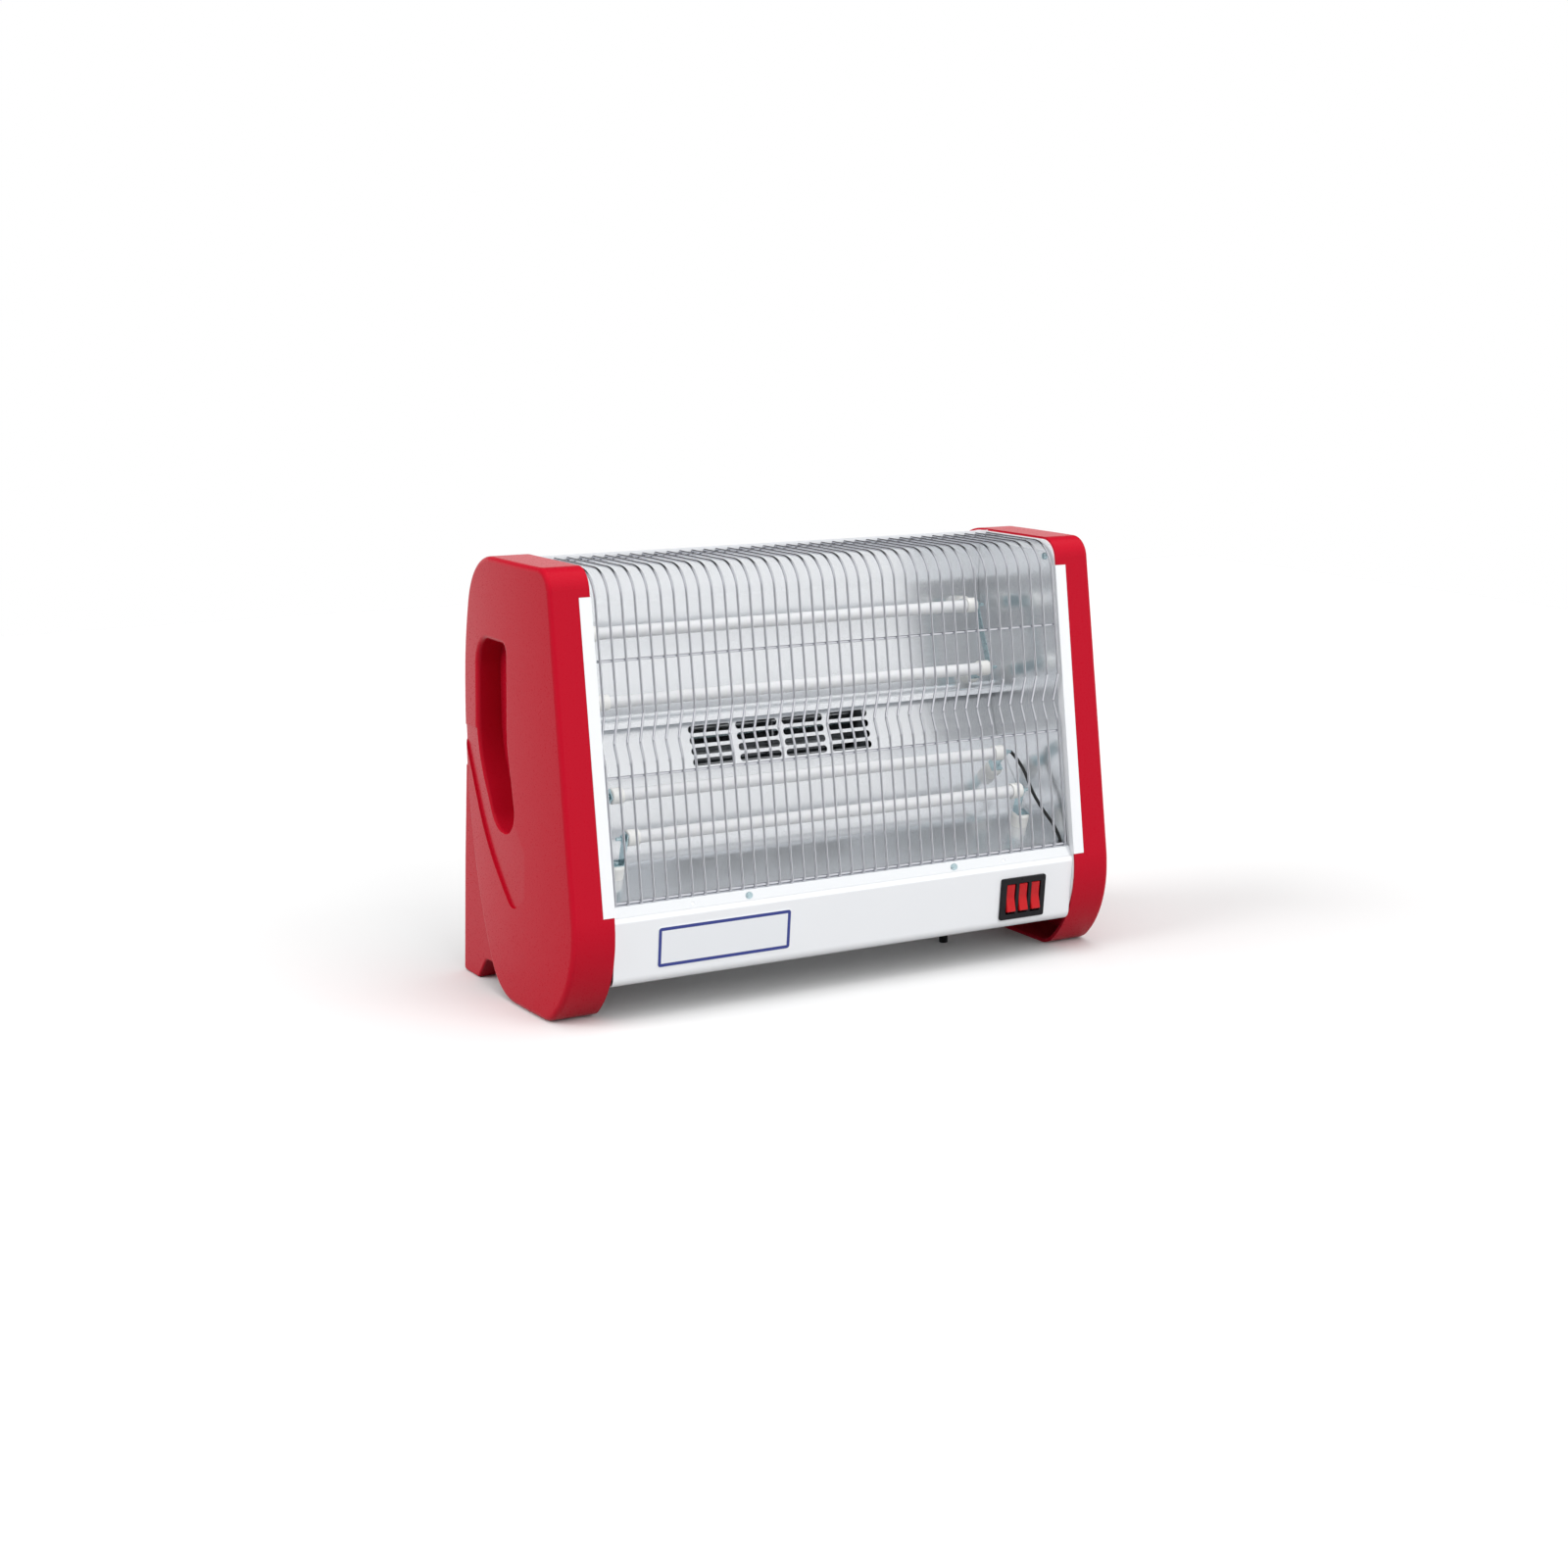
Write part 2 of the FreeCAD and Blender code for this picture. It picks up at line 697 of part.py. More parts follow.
def make_cheeks():
    start = -outer_x - SPARE
    lobe = outline("lobe_line", SIDE, start, LOBE)
    lobe_block = prism("lobe", lobe, ACROSS, cheek_depth + SPARE)
    lobe_outer = common("lobe_outer", lobe_block, crown("crown", 0))
    lobe_soft = rounded_edges("lobe_soft", lobe_outer, cheek_edge,
                              lambda box: box.XMax < float(-rim_x) - SPARE)
    leg = outline("leg_line", SIDE, -rim_x - leg_depth, LEG)
    leg_outer = prism("leg", leg, ACROSS, leg_depth)
    leg_soft = rounded_edges("leg_soft", leg_outer, leg_edge,
                             lambda box: box.XMax < float(-rim_x - leg_depth) + 0.1)
    outer = fuse("cheek_outer", lobe_soft, leg_soft)
    handle = outline("handle_line", SIDE, start, HANDLE)
    pocket = prism("pocket", handle, ACROSS, pocket_depth + SPARE)
    pocketed = cut("cheek_pocketed", outer, pocket)
    doc.recompute()
    reach = pocket.Shape.BoundBox
    reach.enlarge(1)

    def at_mouth(box):
        return reach.isInside(box) and box.XMax < float(pocket_depth / 2 - outer_x)

    soft_mouth = rounded_edges("soft_mouth", pocketed, pocket_mouth, at_mouth)
    inner_lobe = common("lobe_inner",
                        prism("lobe_core", moved_line("lobe_core_line", lobe, -cheek_wall), Vector(1, 0, 0),
                              cheek_depth + SPARE + 1),
                        crown("inner_crown", cheek_wall))
    leg_inner = outline("leg_core_line", SIDE, cheek_wall - rim_x - leg_depth, LEG)
    inner_leg = prism("leg_core", moved_line("leg_inner_line", leg_inner, -cheek_wall), Vector(1, 0, 0),
                      leg_depth - cheek_wall + 1)
    tub = prism("tub", moved_line("tub_line", handle, cheek_wall), Vector(1, 0, 0),
                pocket_depth + cheek_wall + SPARE)
    bosses = screw_holes("boss", boss_radius, -outer_x, cheek_depth)
    core = cut("cheek_core", fuse("cheek_hollow", inner_lobe, inner_leg), tub, *bosses)
    rebate = frame_strip("rebate", -rim_x - strip_width - fit_gap, SPARE - rim_x, -SPARE,
                         frame_sheet + fit_gap, fit_gap)
    leaf_line = outline("leaf_line", SIDE, start, LEAF)
    leaf = cut("leaf_tool", prism("leaf", leaf_line, ACROSS, 2 * SPARE), tilted_crown())
    pilots = screw_holes("pilot", screw_radius + bore_gap, -rim_x - CHEEK_SCREW_LENGTH, SPARE)
    left = cut("left_cheek", soft_mouth, leaf, core, rebate, *pilots)
    keep("left_cheek", left)
    keep("right_cheek", mirrored("right_cheek", left))


def tilted_crown():
    """The crowned face tipped about the line where the leaf recess fades out."""
    face = crown("leaf_crown", 0)
    doc.recompute()
    tip = math.degrees(math.atan(float(leaf_depth) / float(leaf_fade)))
    hinge = Vector(float(-outer_x), *LEAF_FADE_POINT)
    face.Placement = Placement(Vector(), Rotation(LEAF_CREASE, -tip), hinge)
    return face


def frame_strip(name, low, high, front, back, spare):
    """A bar along the leaning front face, between two depths behind it."""
    bottom = strip_bottom - spare
    top = strip_top + spare
    corners = [
        (front_line(bottom) + front, bottom),
        (front_line(bottom) + back, bottom),
        (front_line(top) + back, top),
        (front_line(top) + front, top),
    ]
    return side_prism(name, corners, low, high)


# The side frames and side reflectors
def make_side_frames():
    edge = frame_inset + 6
    line = moved_line("frame_plate_line", outline("frame_line", SIDE, -rim_x, LOBE), -frame_inset)
    plate = prism("frame_plate", line, ACROSS, frame_sheet)
    web = frame_strip("frame_web", -rim_x, frame_sheet - rim_x, 0, edge, 0)
    strip = frame_strip("frame_front", -rim_x - strip_width, frame_sheet - rim_x, 0, frame_sheet, 0)
    blank = fuse("frame_blank", plate, web, strip)
    holes = screw_holes("frame_hole", screw_radius + fit_gap, -rim_x - 1, 4)
    rod_hole = rod("frame_rod_hole", "x", (-rim_x - 1, rear_rod_y, rear_rod_z), 4,
                   rear_rod_radius + fit_gap)
    below = block("frame_below", (-rim_x - 1, -overall_width, -SPARE),
                  (frame_sheet - rim_x + 1, overall_width, panel_bottom))
    left = cut("left_side_frame", blank, below, rod_hole, *holes)
    keep("left_side_frame", left)
    keep("right_side_frame", mirrored("right_side_frame", left))


def make_side_reflectors():
    low = flange_top()[1] + side_gap
    high = overall_height - side_top_gap
    rear = upper_hollow + side_overlap
    corners = [
        (front_line(low) + guard_inset + guard_step + side_gap, low),
        (front_line(high) + guard_inset + side_front_gap, high, side_corner),
        (rear, high, side_corner),
        (rear, ridge_height),
        (slot_face_front + side_overlap, slot_face_bottom - 2 * side_overlap),
        (floor_bend, floor_bend_height - 2 * side_overlap),
    ]
    start = frame_sheet - rim_x
    blank = side_prism("side_reflector_blank", corners, start, start + reflector_sheet)
    hole = screw_holes("reflector_hole", screw_radius + fit_gap, -rim_x, 4)[0]
    left = cut("left_side_reflector", blank, hole)
    keep("left_side_reflector", left)
    keep("right_side_reflector", mirrored("right_side_reflector", left))


# The front panel, base pan and rear cover
def flange_foot():
    """Bend where the front panel turns back into its flange (y, z)."""
    return panel_face(panel_top), panel_top


def flange_top():
    """Upper edge of the front panel's flange (y, z)."""
    foot = flange_foot()
    return foot[0] + flange_run, foot[1] + flange_rise


def panel_spot(across, height):
    """A place on the front panel's outer face, turned with it."""
    turn = Rotation(Vector(1, 0, 0), math.degrees(math.atan(float(panel_lean))))
    return Placement(Vector(float(across), float(panel_face(height)), float(height)), turn)


LIP_SCREW_X = 104
LIP_HOLE_X = 157.6
LIP_SCREW_LENGTH = 8
BASE_SCREWS = (-180, -60, 60, 180)
COVER_SCREWS = (-200, -80, 80, 200)


def lip_spots():
    """Places of the two screws on the lip, heads outward."""
    foot = flange_foot()
    top = flange_top()
    middle = (flange_length - lip_width / 2) / flange_length
    outward = Vector(0, -float(flange_rise / flange_length), float(flange_run / flange_length))
    rise = reflector_sheet
    y = foot[0] + (top[0] - foot[0]) * middle - flange_rise / flange_length * rise
    z = foot[1] + (top[1] - foot[1]) * middle + flange_run / flange_length * rise
    return [spot((x, y, z), outward) for x in (-LIP_SCREW_X, LIP_SCREW_X)], outward


def base_spots():
    """Places of the screws under the base, heads downward."""
    y = panel_foot + (panel_foot_bend + panel_return) / 2
    return [spot((x, y, panel_bottom), Vector(0, 0, -1)) for x in BASE_SCREWS]


def cover_spots():
    """Places of the screws low on the rear cover, heads outward."""
    outward = Vector(0, 1 / float(rear_skew), -float(rear_slope / rear_skew))
    height = (panel_bottom + pan_rear_height) / 2
    return [spot((x, rear_line(height, cover_inset - fit_gap), height), outward) for x in COVER_SCREWS]


def drill(name, radius, places):
    """Round tools through sheets at screw places."""
    pattern = rod(name + "_bit", "z", (0, 0, -SPARE / 2), SPARE, radius)
    return copies(name, pattern, places)


def make_front_panel():
    corners = [
        (panel_foot + panel_return, panel_bottom),
        (panel_foot, panel_bottom, panel_foot_bend),
        (*flange_foot(), panel_bend),
        flange_top(),
    ]
    blank = bent_sheet("panel_blank", corners, panel_sheet, half_inside)
    across = housing_half + fit_gap
    tall = well_tall + housing_wall + fit_gap
    window = block("panel_window_block", (-across, -SPARE, -tall), (across, 2 * SPARE, tall))
    window = copies("panel_window", window, [panel_spot(switch_x, switch_height)])
    lip_holes = drill("panel_lip_holes", screw_radius + fit_gap, lip_spots()[0])
    base_holes = drill("panel_base_holes", screw_radius + fit_gap, base_spots())
    keep("front_panel", cut("front_panel", blank, window, lip_holes, base_holes))


def make_base_pan():
    rear = cover_inset + cover_sheet + fit_gap
    floor = block("pan_floor", (-half_inside, pan_front, pan_floor),
                  (half_inside, rear_line(pan_floor, rear), pan_top))
    ends = []
    for name, low in (("pan_left_end", -half_inside), ("pan_right_end", half_inside - pan_sheet)):
        ends.append(block(name, (low, pan_front, pan_floor),
                          (low + pan_sheet, rear_line(pan_floor, rear + pan_sheet), pan_end_height)))
    corners = [
        (rear_line(pan_floor, rear + pan_sheet), pan_floor),
        (rear_line(pan_floor, rear), pan_floor),
        (rear_line(pan_rear_height, rear), pan_rear_height),
        (rear_line(pan_rear_height, rear + pan_sheet), pan_rear_height),
    ]
    back = side_prism("pan_back", corners, -half_inside, half_inside)
    blank = fuse("pan_blank", floor, back, *ends)
    grommet_hole = rod("pan_grommet_hole", "z", (grommet_x, grommet_y, pan_floor - 1), 4,
                       grommet_radius + fit_gap)
    plunger_hole = rod("pan_plunger_hole", "z", (tip_x, tip_y, pan_floor - 1), 4, plunger_radius + 1)
    base_holes = drill("pan_base_holes", screw_radius + fit_gap, base_spots())
    cover_holes = drill("pan_cover_holes", screw_radius + fit_gap, cover_spots())
    left_holes = screw_holes("pan_end_hole", screw_radius + fit_gap, -rim_x, 6)[2:]
    right_holes = [mirrored("pan_right_hole", hole) for hole in left_holes]
    keep("base_pan", cut("base_pan", blank, grommet_hole, plunger_hole, base_holes, cover_holes,
                         *left_holes, *right_holes))


LOUVRE_COLUMNS = 3
LOUVRE_ROWS = 6
LOUVRE_LENGTH = 60
LOUVRE_HEIGHT = 4
LOUVRE_POST = 10
LOUVRE_BAR = 7


def slot_tool(name, centres, length, height, low, high):
    """Round-ended slots (x, z) cut along Y."""
    pattern = front_prism(name + "_one", rounded(0, 0, length, height, height / 2), low, high)
    places = [Placement(Vector(float(across), 0, float(up)), Rotation()) for across, up in centres]
    return copies(name, pattern, places)


def make_rear_cover():
    line = outline("cover_line", SIDE, -half_inside, LOBE)
    outer_line = moved_line("cover_outer_line", line, -cover_inset)
    inner_line = moved_line("cover_inner_line", line, -cover_inset - cover_sheet)
    outer = prism("cover_outer", outer_line, ACROSS, 2 * half_inside)
    inner = prism("cover_inner", inner_line, ACROSS, 2 * half_inside)
    ring = cut("cover_ring", outer, inner)
    window = block("cover_window", (-rim_x, cover_front, panel_bottom), (rim_x, outer_x, overall_height))
    shell = common("cover_shell", ring, window)
    top = overall_height - cover_inset
    lip = block("cover_lip", (-half_inside, cover_front, top - cover_sheet),
                (half_inside, cover_front + cover_sheet, top + cover_lip))
    blank = fuse("cover_blank", shell, lip)
    centres = []
    for column in range(LOUVRE_COLUMNS):
        x = (LOUVRE_LENGTH + LOUVRE_POST) * (column - (LOUVRE_COLUMNS - 1) / 2)
        for row in range(LOUVRE_ROWS):
            centres.append((x, fan_z + (LOUVRE_HEIGHT + LOUVRE_BAR) * (row - (LOUVRE_ROWS - 1) / 2)))
    louvres = slot_tool("louvres", centres, LOUVRE_LENGTH, LOUVRE_HEIGHT, fan_y + fan_radius, outer_x)
    holes = drill("cover_holes", screw_radius + fit_gap, cover_spots())
    keep("rear_cover", cut("rear_cover", blank, louvres, holes))


def make_grommet():
    flange = 2
    here = (grommet_x, grommet_y)
    brim = grommet_radius + flange
    lower = rod("grommet_lower", "z", (*here, pan_floor - fit_gap - flange), flange, brim)
    neck = rod("grommet_neck", "z", (*here, pan_floor - flange), pan_sheet + 2 * flange, grommet_radius)
    upper = rod("grommet_upper", "z", (*here, pan_top + fit_gap), flange, brim)
    bore = rod("grommet_bore", "z", (*here, pan_floor - SPARE), 2 * SPARE, cord_radius)
    keep("cord_grommet", cut("cord_grommet", fuse("grommet_blank", lower, neck, upper), bore))


# The reflectors
def upper_corners():
    """Fold points of the upper reflector (y, z, bend)."""
    top = overall_height - cover_inset - cover_sheet - fit_gap / 2
    return [
        (upper_lip, top),
        (upper_back, top, 5),
        (upper_hollow, upper_hollow_height, 40),
        (upper_waist, upper_waist_height, 60),
        (ridge_back, ridge_height - ridge_rise, 5),
        (ridge_front, ridge_height, 1.2),
        (ridge_front, ridge_height - ridge_drop),
    ]


def lower_corners():
    """Fold points of the lower reflector (y, z, bend)."""
    foot = flange_foot()
    top = flange_top()
    share = (flange_length - lip_width) / flange_length
    over = 1 + 2 * fit_gap / flange_length
    return [
        (foot[0] + flange_run * share, foot[1] + flange_rise * share),
        (foot[0] + flange_run * over, foot[1] + flange_rise * over, 1),
        (floor_bend, floor_bend_height, 35),
        (slot_face_front, slot_face_bottom, 3),
        (slot_face_back, slot_face_top),
    ]


LEAD_HOLE = (227.6, -100.5)


def make_reflectors():
    keep("upper_reflector", bent_sheet("upper_reflector", upper_corners(), reflector_sheet, half_reflector))
    blank = bent_sheet("lower_blank", lower_corners(), -reflector_sheet, half_reflector)
    columns = 4
    step_x = (slot_spread - slot_length) / (columns - 1)
    step_z = (slot_high - slot_low) / (columns - 1)
    centres = []
    for column in range(columns):
        for row in range(columns):
            centres.append((step_x * (column - (columns - 1) / 2), slot_low + step_z * row))
    slots = slot_tool("air_slots", centres, slot_length, slot_height, slot_face_front - 4,
                      slot_face_back + 8)
    screws = drill("lip_screw_holes", screw_radius + fit_gap, lip_spots()[0])
    outward = lip_spots()[1]
    catches = []
    for place_at in lip_spots()[0]:
        x = math.copysign(LIP_HOLE_X, place_at.Base.x)
        catches.append(spot((x, place_at.Base.y, place_at.Base.z), outward))
    catch_holes = drill("lip_catch_holes", screw_radius, catches)
    lead_hole = rod("lead_hole", "z", (*LEAD_HOLE, floor_bend_height - 30), SPARE, 2 * lead_radius)
    keep("lower_reflector", cut("lower_reflector", blank, slots, screws, catch_holes, lead_hole))


# The guard of bright wire
def circle_sketch(name, radius, y, z):
    """A round section that faces along Y."""
    sketch = doc.addObject("Sketcher::SketchObject", name)
    sketch.Placement = Placement(Vector(), FRONT)
    place(sketch, 0, y, z)
    ring = sketch.addGeometry(Part.Circle(Vector(), Vector(0, 0, 1), float(radius)), False)
    sketch.addConstraint(Sketcher.Constraint("Coincident", ring, 3, -1, 1))
    number = sketch.addConstraint(Sketcher.Constraint("Radius", ring, float(radius)))
    sketch.setExpression("Constraints[%d]" % number, radius.text)
    return sketch


def make_guard():
    rail_z = flange_top()[1] + 3 * cross_radius - reflector_sheet
    rear_end = rear_rod_y + rear_rod_radius
    path = [
        (rear_end, wire_top),
        (guard_line(wire_top, 0), wire_top, guard_bend),
        (guard_line(kink_top, 0), kink_top, kink_bend),
        (guard_line(kink_middle, kink_depth), kink_middle, kink_bend),
        (guard_line(kink_bottom, guard_step), kink_bottom, kink_bend),
        (guard_line(rail_z, guard_step), rail_z - cross_radius),
    ]
    spine = outline("wire_line", SIDE, 0, path, closed=False)
    section = circle_sketch("wire_section", wire_radius, rear_end, wire_top)
    wire = doc.addObject("Part::Sweep", "wire")
    wire.Sections = [section]
    wire.Solid = True
    doc.recompute()
    wire.Spine = (spine, ["Edge%d" % number for number in range(1, len(spine.Shape.Edges) + 1)])
    wire.Frenet = False
    doc.recompute()
    expected = math.pi * float(wire_radius) ** 2 * spine.Shape.Length
    print("guard wire volume %.1f, section times length %.1f" % (wire.Shape.Volume, expected))
    side_count = int((float(half_reflector) - float(wire_radius)) // float(wire_pitch))
    places = [Placement(Vector(number * float(wire_pitch), 0, 0), Rotation())
              for number in range(-side_count, side_count + 1)]
    keep("guard_wires", copies("guard_wires", wire, places))
    half = side_count * wire_pitch + 1.5
    behind = wire_radius + cross_radius - weld
    crosses = [
        (guard_line(upper_cross_height, behind), upper_cross_height),
        (guard_line(lower_cross_height, guard_step + behind), lower_cross_height),
        (guard_line(rail_z, guard_step + behind), rail_z),
        (rear_rod_y - 14, wire_top - behind),
    ]
    rods = [rod("cross_rod_%d" % number, "x", (-half, y, z), 2 * half, cross_radius)
            for number, (y, z) in enumerate(crosses, 1)]
    rear_half = rim_x + 3
    rods.append(rod("rear_rod", "x", (-rear_half, rear_rod_y, rear_rod_z), 2 * rear_half, rear_rod_radius))
    keep("guard_rods", group("guard_rods", *rods))


# The heating tubes and what holds them
class Seat:
    """A foot on a straight run of a reflector, with a tube that stands off it."""

    def __init__(self, name, start, end, side, along, rise):
        run = (end[0] - start[0], end[1] - start[1])
        length = root(run[0] * run[0] + run[1] * run[1])
        heading = (run[0] / length, run[1] / length)
        self.name = name
        self.normal = (heading[1] * -side, heading[0] * side)
        self.rise = rise
        skin = reflector_sheet
        self.foot = tuple(start[axis] + heading[axis] * along + self.normal[axis] * skin for axis in (0, 1))
        self.tube = tuple(self.foot[axis] + self.normal[axis] * rise for axis in (0, 1))

    def outward(self):
        """Direction from the reflector to the tube."""
        return Vector(0, float(self.normal[0]), float(self.normal[1]))

    def knob_top(self, hand):
        """Place on top of the standoff knob, at the right (1) or left (-1) end."""
        point = [self.foot[axis] + self.normal[axis] * knob_height for axis in (0, 1)]
        return spot((hand * knob_x, point[0], point[1]), self.outward())

    def tube_end(self, hand):
        """Place at the end of the tube: Z along the tube outward, Y away from the reflector."""
        along = Vector(hand, 0, 0)
        up = self.outward()
        across = up.cross(along)
        point = Vector(float(hand * tube_half), float(self.tube[0]), float(self.tube[1]))
        turn = FreeCAD.Matrix(across.x, up.x, along.x, point.x, across.y, up.y, along.y, point.y,
                              across.z, up.z, along.z, point.z, 0, 0, 0, 1)
        return Placement(turn)


def tube_seats():
    """The four seats, upper tubes first."""
    upper = upper_corners()
    lower = lower_corners()
    return [
        Seat("upper_top", upper[2], upper[3], -1, upper_a_along, upper_a_rise),
        Seat("upper_bottom", upper[3], upper[4], -1, upper_b_along, upper_b_rise),
        Seat("lower_back", lower[2], lower[3], 1, lower_a_along, lower_a_rise),
        Seat("lower_front", lower[1], lower[2], 1, lower_b_along, lower_b_rise),
    ]


HANDS = (-1, 1)


def make_tubes(seats):
    for seat in seats:
        name = seat.name + "_tube"
        bore = tube_radius - tube_wall
        outer = rod(name + "_outer", "x", (-tube_half, *seat.tube), 2 * tube_half, tube_radius)
        inner = rod(name + "_bore", "x", (-tube_half, *seat.tube), 2 * tube_half, bore)
        keep(name, cut(name, outer, inner))
        coil_half = tube_half - 2
        coil = rod(seat.name + "_coil", "x", (-coil_half, *seat.tube), 2 * coil_half, bore - coil_gap)
        keep(seat.name + "_coil", coil)


def make_tube_ends(seats):
    ends = [seat.tube_end(hand) for seat in seats for hand in HANDS]
    body = rod("cap_body", "z", (0, 0, -cap_grip), cap_grip + cap_nose, cap_radius)
    grip = rod("cap_grip", "z", (0, 0, -cap_grip), cap_grip + bore_gap, tube_radius + bore_gap)
    hole = rod("cap_hole", "z", (0, 0, -1), cap_nose + 2, stud_radius + bore_gap)
    soft = rounded_edges("cap_soft", body, 1.5, lambda box: box.ZMin > float(cap_nose) - 0.1)
    keep("tube_end_caps", copies("tube_end_caps", cut("cap", soft, grip, hole), ends))
    stud = rod("stud_bar", "z", (0, 0, 1), stud_length, stud_radius)
    nut_start = strap_end - tube_half + bore_gap
    nut_line = outline("nut_line", TOP, nut_start, hexagon(nut_radius))
    nut = prism("nut", nut_line, UPWARD, nut_height)
    keep("terminal_studs", copies("terminal_studs", fuse("stud", stud, nut), ends))


def hexagon(radius):
    """Corners of a six-sided nut."""
    return [(radius * math.cos(math.radians(60 * turn)), radius * math.sin(math.radians(60 * turn)))
            for turn in range(6)]


def make_brackets(seats):
    shapes = []
    for seat in seats:
        name = seat.name + "_bracket"
        half = bracket_width / 2
        low = knob_height - seat.rise
        start = riser_start - tube_half
        riser = block(name + "_riser", (-half, low, start), (half, half, start + bracket_sheet))
        foot = block(name + "_foot", (-half, low, start), (half, low + bracket_sheet, start + bracket_foot))
        stud_hole = rod(name + "_stud_hole", "z", (0, 0, start - 1), 4, stud_radius + fit_gap)
        screw_hole = rod(name + "_screw_hole", "y", (0, low - 1, start + bracket_foot / 2), 4,
                         screw_radius + fit_gap)
        bracket = cut(name, fuse(name + "_blank", riser, foot), stud_hole, screw_hole)
        shapes.append(copies(name + "_pair", bracket, [seat.tube_end(hand) for hand in HANDS]))
    keep("tube_brackets", group("tube_brackets", *shapes))


def make_knobs(seats):
    tops = [seat.knob_top(hand) for seat in seats for hand in HANDS]
    body = rod("knob_body", "z", (0, 0, -knob_height), knob_height, knob_radius)
    soft = rounded_edges("knob_soft", body, 2.5, lambda box: box.ZMin > -0.1)
    hole = rod("knob_hole", "z", (0, 0, -knob_height + 3), knob_height, screw_radius + bore_gap)
    keep("standoff_knobs", copies("standoff_knobs", cut("knob", soft, hole), tops))
    heads = [Placement(top.Base + top.Rotation.multVec(Vector(0, 0, float(bracket_sheet))), top.Rotation)
             for top in tops]
    keep("knob_screws", copies("knob_screws", screw("knob_screw", 8), heads))


def screw(name, length):
    """A pan-head screw, head up from Z zero, with a slot across it."""
    head = rod(name + "_head", "z", (0, 0, 0), screw_head_height, screw_head)
    dome = rounded_edges(name + "_dome", head, screw_head_height / 2,
                         lambda box: box.ZMin > float(screw_head_height) - 0.1)
    shank = rod(name + "_shank", "z", (0, 0, -length), length, screw_radius)
    groove = block(name + "_slot", (-screw_head, -0.35, screw_head_height - 0.9),
                   (screw_head, 0.35, screw_head_height + 1))
    return cut(name, fuse(name + "_blank", dome, shank), groove)


def make_strap(seats):
    top, bottom = seats[0].tube, seats[1].tube
    run = (bottom[0] - top[0], bottom[1] - top[1])
    length = root(run[0] * run[0] + run[1] * run[1])
    heading = (run[0] / length, run[1] / length)
    half = strap_width / 2
    corners = []
    for end, forward, side in ((top, -1, -1), (top, -1, 1), (bottom, 1, 1), (bottom, 1, -1)):
        y = end[0] + heading[0] * (forward * half) + heading[1] * (side * half)
        z = end[1] + heading[1] * (forward * half) - heading[0] * (side * half)
        corners.append((y, z, half / 2))
    blank = side_prism("strap_blank", corners, riser_end, strap_end)
    holes = [rod("strap_hole_%d" % number, "x", (riser_end - 1, *end), 4, stud_radius + fit_gap)
             for number, end in enumerate((top, bottom), 1)]
    keep("link_strap", cut("link_strap", blank, *holes))


# Route of the black lead: from the rear lower tube, past the front one, to the switch
LEAD_ROUTE = [
    (211, -42, 179), (219, -50, 168), (217, -72, 140), (228, -99.5, 110), (227, -102.5, 87), (213, -90, 68),
    (192.3, -86, 67),
]
LEAD_BEND_SHARE = 0.45


def make_lead():
    points = [Vector(*point) for point in LEAD_ROUTE]
    edges = []
    at = points[0]
    radii = []
    for index in range(1, len(points) - 1):
        before = points[index] - points[index - 1]
        after = points[index + 1] - points[index]
        half_turn = before.getAngle(after) / 2
        setback = LEAD_BEND_SHARE * min(before.Length, after.Length)
        radius = setback / math.tan(half_turn)
        enter = points[index] - before.normalize() * setback
        leave = points[index] + after.normalize() * setback
        inward = (after - before).normalize()
        centre_distance = radius / math.cos(half_turn)
        middle = points[index] + inward * (centre_distance - radius)
        edges.append(Part.LineSegment(at, enter).toShape())
        edges.append(Part.Arc(enter, middle, leave).toShape())
        radii.append(radius)
        at = leave
    edges.append(Part.LineSegment(at, points[-1]).toShape())
    path = Part.Wire(edges)
    section = Part.Wire([Part.makeCircle(float(lead_radius), points[0], points[1] - points[0])])
    tube = path.makePipeShell([section], True, False)
    item = doc.addObject("Part::Feature", "supply_lead")
    item.Shape = tube
    expected = math.pi * float(lead_radius) ** 2 * path.Length
    print("lead radii", ["%.0f" % radius for radius in radii])
    print("lead length %.0f, volume %.1f, section times length %.1f" % (path.Length, tube.Volume, expected))
    keep("supply_lead", item)


# The switch, built about the middle of its place on the front panel, with Y inward
ROCKERS = (-1, 0, 1)


